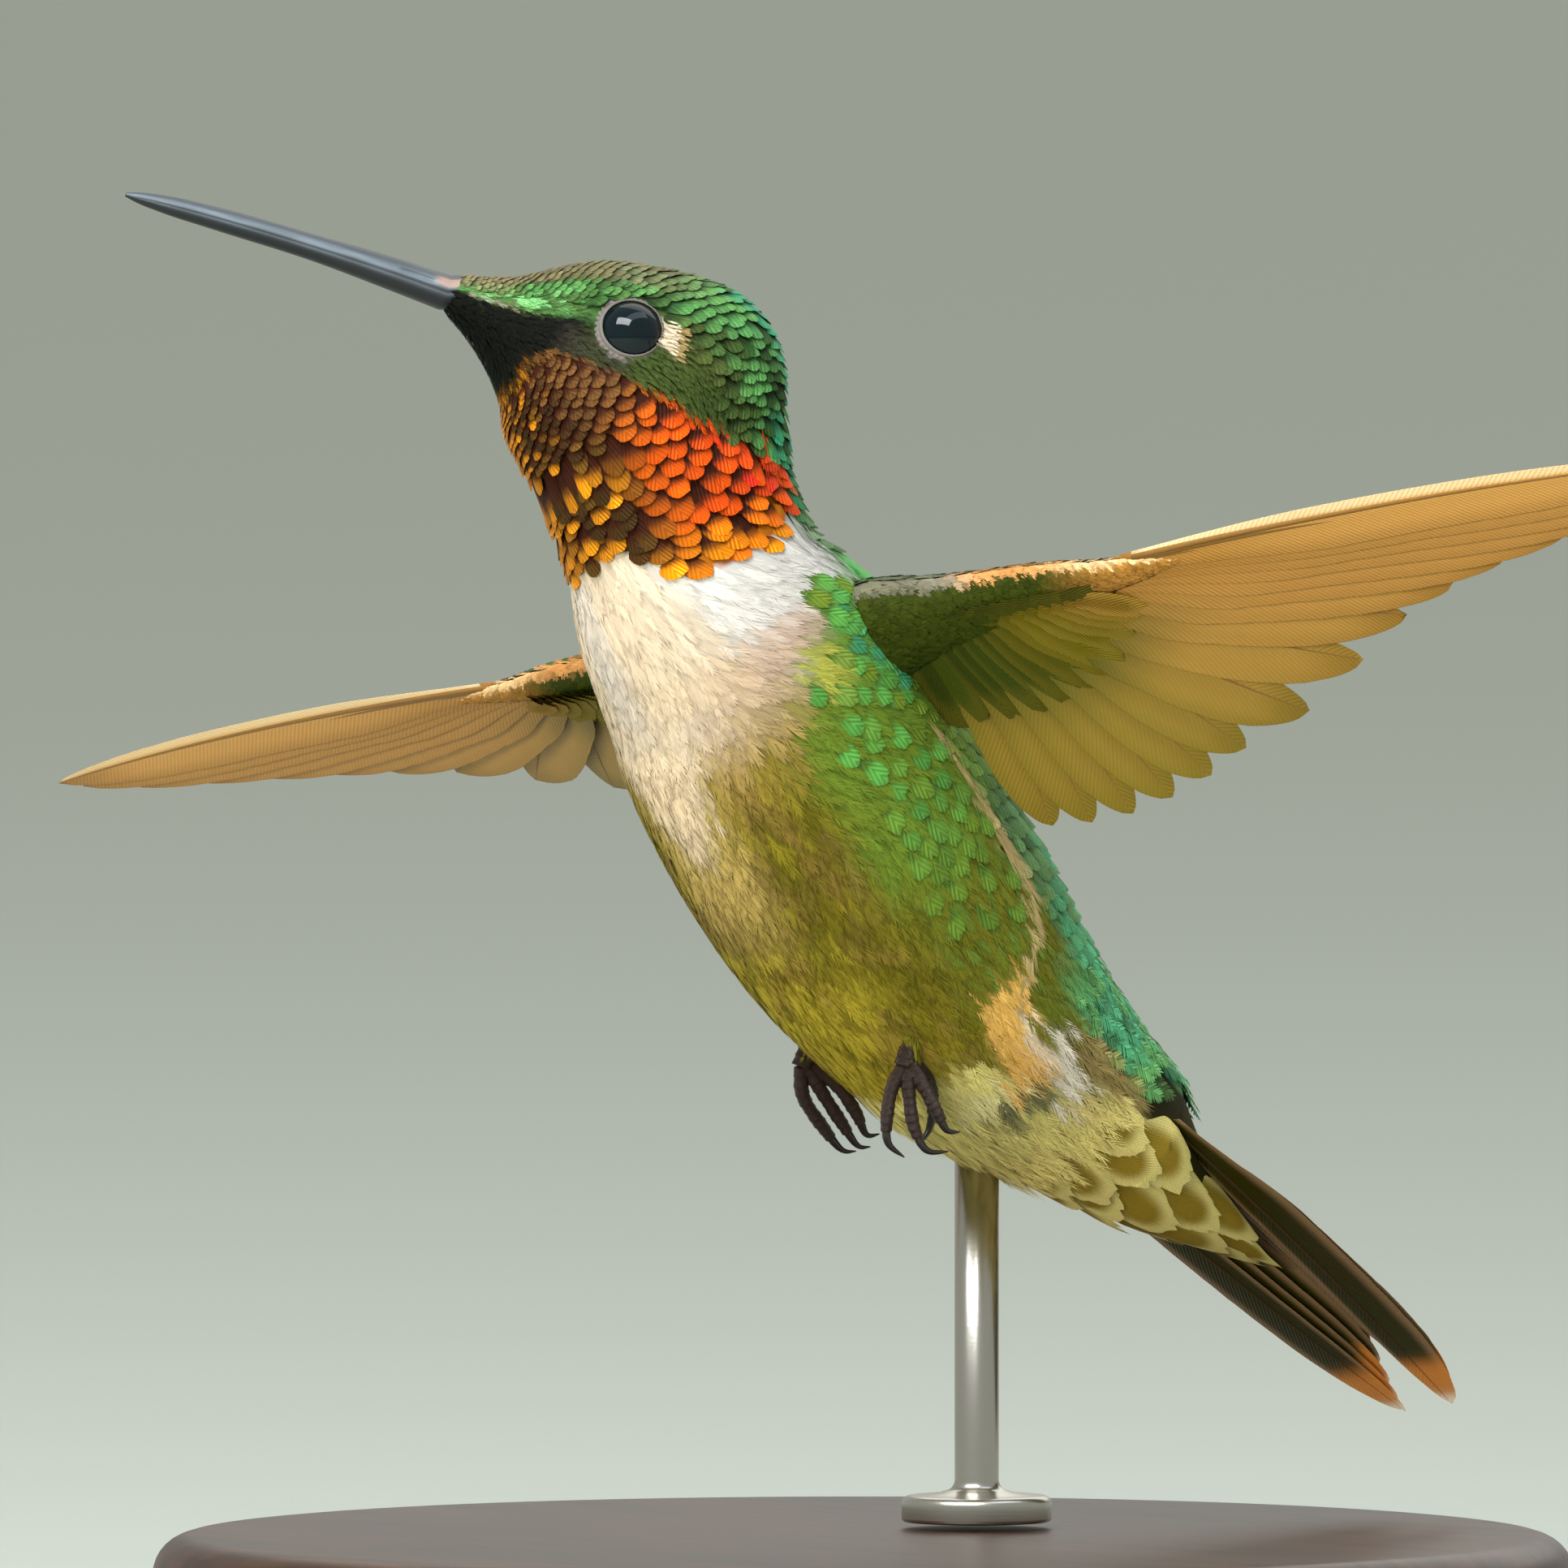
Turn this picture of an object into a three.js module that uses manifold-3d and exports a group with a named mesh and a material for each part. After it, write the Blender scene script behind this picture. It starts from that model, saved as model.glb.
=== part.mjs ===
// Ruby-throated hummingbird, adult male, hovering: a life-size museum model on a disc and rod.
// Millimetres, +Z up. The bird's body heads towards -Y with its left side at +X, and its head is
// turned to its right. The origin is the centre of the stand's underside.
//
// The body is one lofted form, cut across into head, neck, torso and rump. Its sections stand
// on a spine that lies in the bird's own plane of symmetry, given by forward and up distances from
// the foot of the neck. Wings and tail are fans of overlapping feathers fused to their roots.

import * as THREE from 'three';
import { mergeVertices } from 'three/addons/utils/BufferGeometryUtils.js';
import Module from 'manifold-3d';

const wasm = await Module();
wasm.setup();

// ---- driving dimensions -------------------------------------------------------------------

const GAP = 0.3;                          // clearance between neighbouring pieces
const NECK_FOOT = new THREE.Vector3(0, -9, 40);           // over the stand's centre
const HEAD_TURN = deg(32);                // head turned to the bird's right
const BANK = deg(7);                      // body rolled, left wing up

// Sections of the body from the root of the bill to the root of the tail.
const STATIONS = [
  // forward, up, dorsal, ventral and side half sizes, share of the head's turn
  [11.3, 22.5, 0.85, 0.8, 0.95, 1],        // bill root
  [9.0, 21.4, 1.9, 2.1, 2.2, 1],           // lores
  [6.0, 19.5, 5.3, 4.4, 4.4, 1],           // eye
  [3.9, 17.0, 8.0, 5.0, 5.2, 1],           // crown
  [2.6, 14.0, 7.1, 4.9, 5.3, 1],           // nape
  [1.4, 11.0, 6.2, 5.1, 5.5, 0.8],         // throat
  [0.2, 8.2, 6.3, 5.8, 6.2, 0.45],         // collar
  [-2.4, 4.6, 7.3, 7.0, 7.0, 0.12],        // shoulder
  [-6.0, -0.3, 7.5, 7.8, 7.4, 0],          // breast
  [-10.3, -6.0, 7.4, 7.6, 7.2, 0],         // belly
  [-14.9, -11.0, 6.4, 6.3, 6.2, 0],        // thighs
  [-19.2, -14.2, 5.0, 4.9, 4.9, 0],        // vent
  [-22.8, -16.6, 4.0, 3.9, 4.2, 0],        // tail root
];
const HEAD_END = 17.0;                    // distances along the spine where the body is parted
const NECK_END = 22.6;
const TORSO_END = 43.5;
const BODY_SIDES = 28;                    // points round each section
const RING_STEP = 1.35;                   // distance between sections

const BILL_LENGTH = 15.1;
const BILL_PITCH = [deg(22), deg(16)];    // upward slope at the root and at the tip
// Sections of the bill: distance out from the face, half width, half depth.
const BILL_SECTIONS = [
  [0, 0.95, 0.8], [2.5, 0.76, 0.72], [6, 0.58, 0.58], [11, 0.48, 0.5], [13.4, 0.34, 0.38],
  [14.6, 0.2, 0.22], [BILL_LENGTH, 0.08, 0.09],
];
const BILL_GROOVE = 0.2;                  // share of the half width cut along each edge of the mouth
const NOSTRIL = { from: 0.7, to: 2.3, above: 0.36, radius: 0.16 };
const MOUTH_BACK = 5.2;                   // the line of the mouth runs this far into the face
const MOUTH_DEPTH = 0.28;
const MOUTH_WIDTH = [0.24, 0.06];         // at the bill and at its back end

const EYE_RADIUS = 1.55;
const EYE_AT = { along: 7.0, round: deg(66.5) };
const LID_OPENING = 1.37;                 // radius of the opening between the lids
const LID_THICK = 0.3;
const LID_PROUD = 0.12;                   // the lids' rim stands this far out of the face

const SHOULDER_LEFT = [7.64, 5.36, 7.7];   // axis of the left arm, from the neck's foot
const SHOULDER_RIGHT = [-9.27, 5.36, 5.2];
const ARM = 6.75;                         // shoulder to wrist
const HAND = 6.2;                         // wrist to the tip of the hand
// Primaries P10 to P1: distance of the tip from the wrist, and its bearing off the span.
const PRIMARIES = [
  [39, 0], [38, 1.1], [35.5, 2.3], [31.8, 3.7], [27.8, 5.7],
  [24, 8.6], [20.6, 13.2], [17.6, 20.5], [15.2, 32], [13.3, 47],
];
const SECONDARIES = [
  [11.7, 59], [11.8, 66], [11.8, 73], [11.8, 80], [11.7, 87], [11.5, 93],
];
const VANE = 0.5;                         // thickness of every feather vane

const TAIL_PITCH = deg(36.5);             // the tail slopes down and back
// Rectrices R1 to R5: length beyond the rump, half width, distance of root and tip off centre.
const RECTRICES = [
  [18.0, 2.0, 0.7, 0.9],
  [19.2, 2.0, 1.3, 1.2],
  [20.4, 1.8, 1.9, 1.5],
  [21.3, 1.5, 2.4, 1.6],
  [21.9, 1.2, 2.9, 1.5],
];

const BASE_RADIUS = 32;
const BASE_HEIGHT = 6;
const ROD_RADIUS = 1;
const ROD_BACK = 6.9;                     // the rod stands this far behind the disc's centre
const ROD_REACH = 26;                     // its top before the body's underside trims it
const FLANGE_RADIUS = 3.4;

// ---- small tools --------------------------------------------------------------------------

function deg(a) {
  return (a * Math.PI) / 180;
}

function mix(a, b, t) {
  return a + (b - a) * t;
}

function smooth(t) {
  const u = Math.min(1, Math.max(0, t));
  return u * u * (3 - 2 * u);
}

// Value of a table of [x, y] pairs at x, with straight runs between the pairs.
function ramp(pairs, x) {
  let k = 1;
  while (k < pairs.length - 1 && x > pairs[k][0]) k += 1;
  const [x0, y0] = pairs[k - 1];
  const [x1, y1] = pairs[k];
  return mix(y0, y1, Math.min(1, Math.max(0, (x - x0) / (x1 - x0))));
}

// A closed surface as a manifold solid, turned right side out.
function solid(points, triangles) {
  const vertProperties = new Float32Array(points.flatMap((p) => [p.x, p.y, p.z]));
  let volume = 0;
  for (const [a, b, c] of triangles) {
    volume += points[a].dot(points[b].clone().cross(points[c]));
  }
  const turned = triangles.flatMap(([a, b, c]) => (volume < 0 ? [a, c, b] : [a, b, c]));
  const triVerts = new Uint32Array(turned);
  return new wasm.Manifold(new wasm.Mesh({ numProp: 3, vertProperties, triVerts }));
}

// A closed three.js geometry as a manifold solid.
function solidOf(geometry) {
  const bare = geometry.clone();
  for (const name of ['normal', 'uv']) bare.deleteAttribute(name);
  const merged = mergeVertices(bare, 1e-4);
  const index = merged.getIndex().array;
  const corners = merged.getAttribute('position');
  const points = Array.from(
    { length: corners.count },
    (_, i) => new THREE.Vector3().fromBufferAttribute(corners, i),
  );
  const triangles = [];
  for (let i = 0; i < index.length; i += 3) {
    const t = [index[i], index[i + 1], index[i + 2]];
    if (new Set(t).size === 3) triangles.push(t);
  }
  return solid(points, triangles);
}

// Skin over a row of rings with equal counts of points, closed at both ends.
function loft(rings) {
  const n = rings[0].length;
  const points = rings.flat();
  const triangles = [];
  for (let i = 0; i + 1 < rings.length; i += 1) {
    for (let j = 0; j < n; j += 1) {
      const a = i * n + j;
      const b = i * n + ((j + 1) % n);
      triangles.push([a, b, b + n], [a, b + n, a + n]);
    }
  }
  for (const [start, flip] of [[0, true], [(rings.length - 1) * n, false]]) {
    for (let j = 1; j + 1 < n; j += 1) {
      const t = [start, start + j, start + j + 1];
      triangles.push(flip ? t.reverse() : t);
    }
  }
  return solid(points, triangles);
}

// Round, tapering limb through the given points; radii go with the points.
function limb(path, radii, sides = 6, steps = 8) {
  const curve = new THREE.CatmullRomCurve3(path);
  const frames = curve.computeFrenetFrames(steps, false);
  const rings = [];
  for (let i = 0; i <= steps; i += 1) {
    const t = i / steps;
    const centre = curve.getPointAt(t);
    const r = ramp(radii.map((value, k) => [k / (radii.length - 1), value]), t);
    rings.push(Array.from({ length: sides }, (_, j) => {
      const a = (2 * Math.PI * j) / sides;
      return centre.clone()
        .addScaledVector(frames.normals[i], r * Math.cos(a))
        .addScaledVector(frames.binormals[i], r * Math.sin(a));
    }));
  }
  return loft(rings);
}

function union(pieces) {
  return pieces.reduce((whole, piece) => whole.add(piece));
}

// The largest closed surface of a solid, which fills hollows and drops scraps.
function largest(shape) {
  return shape.decompose().reduce((best, piece) => (piece.volume() > best.volume() ? piece : best));
}

const bird = new THREE.Group();

function addNode(name, shape, colour, roughness, metalness = 0) {
  const { vertProperties, triVerts } = shape.getMesh();
  const geometry = new THREE.BufferGeometry();
  geometry.setAttribute('position', new THREE.BufferAttribute(new Float32Array(vertProperties), 3));
  geometry.setIndex(new THREE.BufferAttribute(new Uint32Array(triVerts), 1));
  geometry.computeVertexNormals();
  const material = new THREE.MeshStandardMaterial({ color: colour, roughness, metalness });
  const mesh = new THREE.Mesh(geometry, material);
  mesh.name = name;
  bird.add(mesh);
}

// ---- the body's form ----------------------------------------------------------------------

// Distance along the spine of each station.
const ALONG = STATIONS.reduce((list, [f, u], i) => {
  if (i === 0) return [0];
  const [pf, pu] = STATIONS[i - 1];
  return [...list, list[i - 1] + Math.hypot(f - pf, u - pu)];
}, []);
const BODY_LENGTH = ALONG[ALONG.length - 1];

// Slope of every column at every station: the mean of the slopes on either side, each weighted
// by the length of the other's span.
const SLOPES = STATIONS.map((row, i) => row.map((_, k) => {
  const slope = (a, b) => (STATIONS[b][k] - STATIONS[a][k]) / (ALONG[b] - ALONG[a]);
  if (i === 0) return slope(0, 1);
  if (i + 1 === STATIONS.length) return slope(i - 1, i);
  const [before, after] = [ALONG[i] - ALONG[i - 1], ALONG[i + 1] - ALONG[i]];
  return (slope(i - 1, i) * after + slope(i, i + 1) * before) / (before + after);
}));

// The station row at distance s, by cubic Hermite interpolation.
function station(s) {
  let i = 0;
  while (i + 2 < ALONG.length && s >= ALONG[i + 1]) i += 1;
  const h = ALONG[i + 1] - ALONG[i];
  const t = (s - ALONG[i]) / h;
  return STATIONS[i].map((from, k) => {
    const to = STATIONS[i + 1][k];
    const lift = (SLOPES[i][k] * (t - 1) * (t - 1) * t + SLOPES[i + 1][k] * t * t * (t - 1)) * h;
    return from * (1 + 2 * t) * (1 - t) * (1 - t) + to * t * t * (3 - 2 * t) + lift;
  });
}

// A point given in the bird's own unturned, level frame, turned and set over the stand.
function place(left, back, up, turnShare) {
  const p = new THREE.Vector3(left, back, up);
  p.applyAxisAngle(new THREE.Vector3(0, 0, 1), -HEAD_TURN * turnShare);
  p.applyAxisAngle(new THREE.Vector3(0, 1, 0), -BANK * (1 - 0.5 * turnShare));
  return p.add(NECK_FOOT);
}

// Point of the body's surface at distance s along the spine and angle round it, measured from
// the back over the left side.
function skin(s, round, grow = 0) {
  const [forward, up, dorsal, ventral, side, turnShare] = station(s);
  const a = station(Math.max(0, s - 1e-3));
  const b = station(Math.min(BODY_LENGTH, s + 1e-3));
  const run = Math.hypot(b[0] - a[0], b[1] - a[1]);
  const tangent = { back: -(b[0] - a[0]) / run, up: (b[1] - a[1]) / run };
  const reach = ((Math.cos(round) > 0 ? dorsal : ventral) + grow) * Math.cos(round);
  return place(
    (side + grow) * Math.sin(round),
    -forward - tangent.up * reach,
    up + tangent.back * reach,
    Math.min(1, Math.max(0, turnShare)),
  );
}

function bodyRing(s, grow = 0) {
  return Array.from({ length: BODY_SIDES }, (_, j) => skin(s, (2 * Math.PI * j) / BODY_SIDES, grow));
}

function bodyLength(from, to, grow = 0) {
  const steps = Math.round((to - from) / RING_STEP);
  return loft(Array.from({ length: steps + 1 }, (_, i) => bodyRing(mix(from, to, i / steps), grow)));
}

const bodyAndGap = bodyLength(0, BODY_LENGTH, GAP);

// ---- bill ---------------------------------------------------------------------------------

// Point of the head's own plane of symmetry, the given distance out along the bill.
function billAxis(u) {
  const steps = 24;
  const at = { forward: STATIONS[0][0], up: STATIONS[0][1] };
  for (let i = 0; i < steps; i += 1) {
    const pitch = mix(...BILL_PITCH, ((i + 0.5) * u) / steps / BILL_LENGTH);
    at.forward += (Math.cos(pitch) * u) / steps;
    at.up += (Math.sin(pitch) * u) / steps;
  }
  return at;
}

function makeBill() {
  const widths = BILL_SECTIONS.map(([u, wide]) => [u, wide]);
  const depths = BILL_SECTIONS.map(([u, , deep]) => [u, deep]);
  const bearings = [-8, 0, 8, 34, 62, 90, 118, 146, 172, 180, 188, 214, 242, 270, 298, 326];
  const droop = 0.08;                     // the sections hang this far below the axis
  const outs = BILL_SECTIONS.flatMap(([u], i) => (
    i + 1 < BILL_SECTIONS.length ? [u, (u + BILL_SECTIONS[i + 1][0]) / 2] : [u]
  ));
  const rings = outs.map((out) => {
    const u = Math.max(GAP, out);
    const centre = billAxis(u);
    const pitch = mix(...BILL_PITCH, u / BILL_LENGTH);
    return bearings.map((bearing) => {
      const a = deg(bearing);
      const cut = bearing % 180 === 0 ? 1 - BILL_GROOVE : 1;
      const rise = ramp(depths, u) * Math.sin(a) * cut - droop;
      return place(
        ramp(widths, u) * Math.cos(a) * cut,
        -(centre.forward - Math.sin(pitch) * rise),
        centre.up + Math.cos(pitch) * rise,
        1,
      );
    });
  });
  const nostrils = [1, -1].map((side) => {
    const slit = [0, 0.3, 0.7, 1].map((t) => {
      const u = mix(NOSTRIL.from, NOSTRIL.to, t);
      const centre = billAxis(u);
      return place(side * ramp(widths, u), -centre.forward, centre.up + NOSTRIL.above, 1);
    });
    return limb(slit, [0.06, NOSTRIL.radius, 0.06], 5, 3);
  });
  return nostrils.reduce((bill, slit) => bill.subtract(slit), loft(rings));
}

addNode('bill', makeBill(), 0x3a3a3d, 0.45);

// ---- head, with lids, eye sockets and the line of the mouth -------------------------------

// Centre and outward direction of an eye; side is 1 on the left and -1 on the right.
function eyeSeat(side) {
  const { along, round } = EYE_AT;
  const here = skin(along, side * round);
  const on = skin(along + 0.2, side * round).sub(here);
  const around = skin(along, side * (round + 0.02)).sub(here);
  const out = on.cross(around).normalize().multiplyScalar(-side);
  const socket = EYE_RADIUS + GAP;
  const lidHeight = Math.sqrt(socket * socket - LID_OPENING * LID_OPENING);
  return { out, socket, centre: here.clone().addScaledVector(out, LID_PROUD - lidHeight) };
}

function turnedTo(shape, seat) {
  const turn = new THREE.Quaternion().setFromUnitVectors(new THREE.Vector3(0, 1, 0), seat.out);
  return shape.applyQuaternion(turn).translate(seat.centre.x, seat.centre.y, seat.centre.z);
}

// Both lids as one ring: a zone of a thick round shell about the eye.
function lidRing(seat) {
  const inner = seat.socket;
  const rim = Math.asin(LID_OPENING / inner);
  const skirt = deg(78);
  const steps = 3;
  const arc = (radius, from, to) => Array.from({ length: steps + 1 }, (_, i) => {
    const a = mix(from, to, i / steps);
    return new THREE.Vector2(radius * Math.sin(a), radius * Math.cos(a));
  });
  const profile = [...arc(inner - 0.05, rim, skirt), ...arc(inner + LID_THICK, skirt, rim + 0.06)];
  return solidOf(turnedTo(new THREE.LatheGeometry([...profile, profile[0]], 22), seat));
}

// Strip standing through the skin along the gape, for cutting the line of the mouth.
function mouthLine(side) {
  const steps = 6;
  const clear = 0.3;                      // the strip's outer edge stands this far off the skin
  const rings = Array.from({ length: steps + 1 }, (_, i) => {
    const t = i / steps;
    const s = MOUTH_BACK * t;
    const round = deg(mix(97, 86, t));
    const half = mix(...MOUTH_WIDTH, t) / 2 / mix(1.05, 3.6, t);     // as an angle about the spine
    return [
      skin(s, side * (round - half), clear), skin(s, side * (round + half), clear),
      skin(s, side * (round + half), -MOUTH_DEPTH), skin(s, side * (round - half), -MOUTH_DEPTH),
    ];
  });
  return loft(rings);
}

function makeHead() {
  let head = bodyLength(0, HEAD_END);
  for (const side of [1, -1]) {
    const seat = eyeSeat(side);
    const hollow = new THREE.SphereGeometry(seat.socket, 20, 14);
    head = head.add(lidRing(seat)).subtract(solidOf(turnedTo(hollow, seat))).subtract(mouthLine(side));
  }
  return largest(head);
}

addNode('head', makeHead(), 0x4f6b3a, 0.6);

for (const [name, side] of [['eye_left', 1], ['eye_right', -1]]) {
  const ball = new THREE.SphereGeometry(EYE_RADIUS, 18, 12);
  addNode(name, solidOf(turnedTo(ball, eyeSeat(side))), 0x17120f, 0.08);
}

// ---- neck, torso and rump -----------------------------------------------------------------

addNode('neck', bodyLength(HEAD_END + GAP, NECK_END), 0xe9e4d6, 0.8);
addNode('torso', bodyLength(NECK_END + GAP, TORSO_END), 0x6f7a3a, 0.75);
addNode('rump', bodyLength(TORSO_END + GAP, BODY_LENGTH), 0x3f8f6d, 0.7);

// ---- feathers -----------------------------------------------------------------------------

// The point a given length from root, on a bearing in degrees from the first axis to the second.
function outFrom(root, length, bearing) {
  const way = new THREE.Vector2(Math.cos(deg(bearing)), Math.sin(deg(bearing)));
  return root.clone().addScaledVector(way, length);
}

// A vane is a tapering strip of the given widths on either side of its shaft. The shaft runs
// from root to tip in a plane that map(a, b, h) bends into space, bows towards the vane's leading
// side, and may be tilted so that its leading edge lies higher than its trailing edge. Its shape
// gives shares of the width and thickness at shares of the length.
const VANE_SHAPE = [
  [0, 0.5, 1], [0.3, 0.9, 1], [0.6, 1, 1], [0.82, 0.86, 1], [0.95, 0.5, 0.8], [1, 0.16, 0.6],
];
const TAIL_VANE_SHAPE = [
  [0, 0.6, 1], [0.3, 0.9, 1], [0.62, 1, 1], [0.84, 0.7, 1], [0.95, 0.4, 0.8], [1, 0.15, 0.6],
];
const COVERT_SHAPE = [[0, 0.6, 1], [0.5, 1, 1], [0.85, 0.8, 1], [1, 0.3, 0.7]];

function vane(map, root, tip, { lead, trail, bow = 0, tilt = 0, rise = 0, shape = VANE_SHAPE }) {
  const run = new THREE.Vector2().subVectors(tip, root);
  const across = new THREE.Vector2(run.y, -run.x).normalize();     // towards the leading side
  const points = [];
  for (const [t, width, thick] of shape) {
    const centre = root.clone().addScaledVector(run, t).addScaledVector(across, bow * 4 * t * (1 - t));
    const front = centre.clone().addScaledVector(across, lead * width);
    const back = centre.clone().addScaledVector(across, -trail * width);
    const half = (VANE / 2) * thick;
    const slope = tilt * width;
    points.push(
      map(front.x, front.y, rise + slope + half), map(back.x, back.y, rise - slope + half),
      map(back.x, back.y, rise - slope - half), map(front.x, front.y, rise + slope - half),
    );
  }
  const triangles = [[3, 1, 0], [3, 2, 1]];
  for (let i = 0; i + 4 < points.length; i += 4) {
    const [frontUp, backUp, backDown, frontDown] = [i, i + 1, i + 2, i + 3];
    triangles.push(
      [frontUp, backUp, backUp + 4], [frontUp, backUp + 4, frontUp + 4],
      [frontDown, backDown + 4, backDown], [frontDown, frontDown + 4, backDown + 4],
      [backUp, backDown, backDown + 4], [backUp, backDown + 4, backUp + 4],
      [frontDown, frontUp, frontUp + 4], [frontDown, frontUp + 4, frontDown + 4],
    );
  }
  const end = points.length - 4;
  triangles.push([end, end + 1, end + 3], [end + 1, end + 2, end + 3]);
  return solid(points, triangles);
}

// ---- wings --------------------------------------------------------------------------------

// Frame of a wing: a runs out along the arm, b back across the vanes, h off the upper side.
function wingMap(side, shoulder, { sweep, lift, rootAngle, tipAngle }) {
  const root = new THREE.Vector3(...shoulder).add(NECK_FOOT);
  const span = new THREE.Vector3(side * Math.cos(sweep), Math.sin(sweep), 0)
    .multiplyScalar(Math.cos(lift)).setZ(Math.sin(lift));
  const back = new THREE.Vector3(0, 1, 0).addScaledVector(span, -span.y).normalize();
  const down = back.clone().cross(span).multiplyScalar(side);
  return (a, b, h) => {
    const angle = mix(rootAngle, tipAngle, smooth((a - 5) / 20));
    const chord = back.clone().multiplyScalar(Math.cos(angle)).addScaledVector(down, Math.sin(angle));
    const upper = span.clone().cross(chord).multiplyScalar(side);
    return root.clone().addScaledVector(span, a).addScaledVector(chord, b).addScaledVector(upper, h);
  };
}

// Arm and hand as one tapering limb: distance out, front edge, back edge and half thickness.
const ARM_SHAPE = [
  [-5.5, -1.6, 3.4, 2.1], [-2, -2.2, 3.0, 1.9], [1.5, -1.8, 2.2, 1.4], [4.5, -1.6, 1.9, 1.1],
  [7.5, -1.45, 1.4, 0.9], [10.5, -1.1, 0.9, 0.65], [13.2, -0.8, 0.5, 0.45], [14.6, -0.5, 0.2, 0.32],
];

function makeWing(side, shoulder, pose) {
  const map = wingMap(side, shoulder, pose);
  const pieces = [loft(ARM_SHAPE.map(([a, front, rear, thick]) => Array.from({ length: 10 }, (_, j) => {
    const round = (2 * Math.PI * j) / 10;
    return map(a, (front + rear) / 2 - ((rear - front) / 2) * Math.cos(round), thick * Math.sin(round));
  })))];
  PRIMARIES.forEach(([reach, bearing], k) => {
    const inward = k / (PRIMARIES.length - 1);
    const root = new THREE.Vector2(ARM + HAND * (1 - inward) * 0.95, mix(-0.75, 0.3, inward));
    const tip = outFrom(new THREE.Vector2(ARM, 0), reach, bearing);
    pieces.push(vane(map, root, tip, {
      lead: mix(0.55, 1.3, inward), trail: mix(1.7, 2.2, Math.min(1, k / 4)), bow: reach * 0.02, tilt: 0.17,
    }));
  });
  SECONDARIES.forEach(([reach, bearing], k) => {
    const root = new THREE.Vector2(ARM - 0.55 - 0.92 * k, 0.4);
    const tip = outFrom(root, reach, bearing);
    pieces.push(vane(map, root, tip, { lead: 1.3, trail: 1.9, bow: 0.3, tilt: 0.17 }));
  });
  // One tier of coverts above and one below, over the roots of the flight feathers.
  const COVERTS = 9;
  for (const face of [1, -1]) {
    for (let k = 0; k < COVERTS; k += 1) {
      const t = k / (COVERTS - 1);
      const root = new THREE.Vector2(mix(11.8, -0.6, t), mix(0.5, 0.2, t));
      const bearing = mix(14, 92, smooth(t) * 0.35 + t * 0.65);
      const tip = outFrom(root, mix(4.6, 6.6, smooth(t * 2)), bearing);
      pieces.push(vane(map, root, tip, {
        lead: mix(0.6, 1.3, t), trail: 1.3, bow: 0.2, tilt: 0.12, rise: face * mix(0.36, 0.5, t),
        shape: COVERT_SHAPE,
      }));
    }
  }
  return largest(union(pieces).subtract(bodyAndGap));
}

addNode('wing_left', makeWing(1, SHOULDER_LEFT, {
  sweep: deg(10.7), lift: deg(9.8), rootAngle: deg(56), tipAngle: deg(36),
}), 0x6d4f2c, 0.6);
addNode('wing_right', makeWing(-1, SHOULDER_RIGHT, {
  sweep: deg(3.5), lift: deg(-8.5), rootAngle: deg(28), tipAngle: deg(24),
}), 0x6d4f2c, 0.6);

// ---- tail ---------------------------------------------------------------------------------

// Frame of the tail: u runs down the tail from the rump, v to the left, h off the upper side.
function tailPoint(u, v, h) {
  const [forward, up] = STATIONS[STATIONS.length - 1];
  const c = Math.cos(TAIL_PITCH);
  const s = Math.sin(TAIL_PITCH);
  return place(v, -forward + u * c + h * s, up - u * s + h * c, 0);
}

function makeTail() {
  const [, , dorsal, ventral, side] = STATIONS[STATIONS.length - 1];
  // distance down the tail, half width, height of top and depth of underside
  const core = [[GAP + 0.1, side, dorsal, ventral], [2.5, side * 0.93, dorsal * 0.72, ventral * 0.84],
    [5, side * 0.8, dorsal * 0.45, ventral * 0.6], [7.5, side * 0.6, 0.9, 1.2]];
  const pieces = [loft(core.map(([u, wide, top, under]) => Array.from({ length: 20 }, (_, j) => {
    const a = (2 * Math.PI * j) / 20;
    return tailPoint(u, wide * Math.cos(a), (Math.sin(a) > 0 ? top : under) * Math.sin(a));
  })))];
  const tailSide = (mirror) => (a, b, h) => tailPoint(a, mirror * b, h);
  for (const mirror of [1, -1]) {
    RECTRICES.forEach(([length, half, rootOff, tipOff], k) => {
      const root = new THREE.Vector2(1.5, rootOff);
      const tip = new THREE.Vector2(length, tipOff);
      pieces.push(vane(tailSide(mirror), root, tip, {
        lead: half, trail: half * 0.8, bow: -0.15 - 0.08 * k, rise: 1.05 - 0.24 * k + 0.06 * mirror,
        shape: TAIL_VANE_SHAPE,
      }));
    });
  }
  // Coverts lie on the core in two tiers, above and below.
  const tiers = [
    { face: 1, from: 0.9, length: 5.0, half: 1.5, places: [-2.4, -0.8, 0.8, 2.4], rise: 2.5, drop: 1.5 },
    { face: 1, from: 2.8, length: 5.6, half: 1.4, places: [-1.7, 0, 1.7], rise: 1.8, drop: 0.9 },
    { face: -1, from: 0.9, length: 6.2, half: 1.6, places: [-2.5, -0.85, 0.85, 2.5], rise: 2.7, drop: 1.6 },
    { face: -1, from: 3.0, length: 8.6, half: 1.5, places: [-1.6, 0, 1.6], rise: 2.1, drop: 1.1 },
  ];
  for (const { face, from, length, half, places, rise, drop } of tiers) {
    for (const off of places) {
      const bend = (a, b, h) => {
        const t = (a - from) / length;
        const arch = 1 - (b / (side + 0.6)) ** 2;
        return tailPoint(a, b, face * (mix(rise, drop, t) * Math.sqrt(Math.max(0.05, arch)) + h));
      };
      const root = new THREE.Vector2(from, off);
      const tip = new THREE.Vector2(from + length, off * 0.62);
      pieces.push(vane(bend, root, tip, { lead: half, trail: half, shape: COVERT_SHAPE }));
    }
  }
  return largest(union(pieces).subtract(bodyAndGap));
}

addNode('tail', makeTail(), 0x3a3026, 0.55);

// ---- legs ---------------------------------------------------------------------------------

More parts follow.
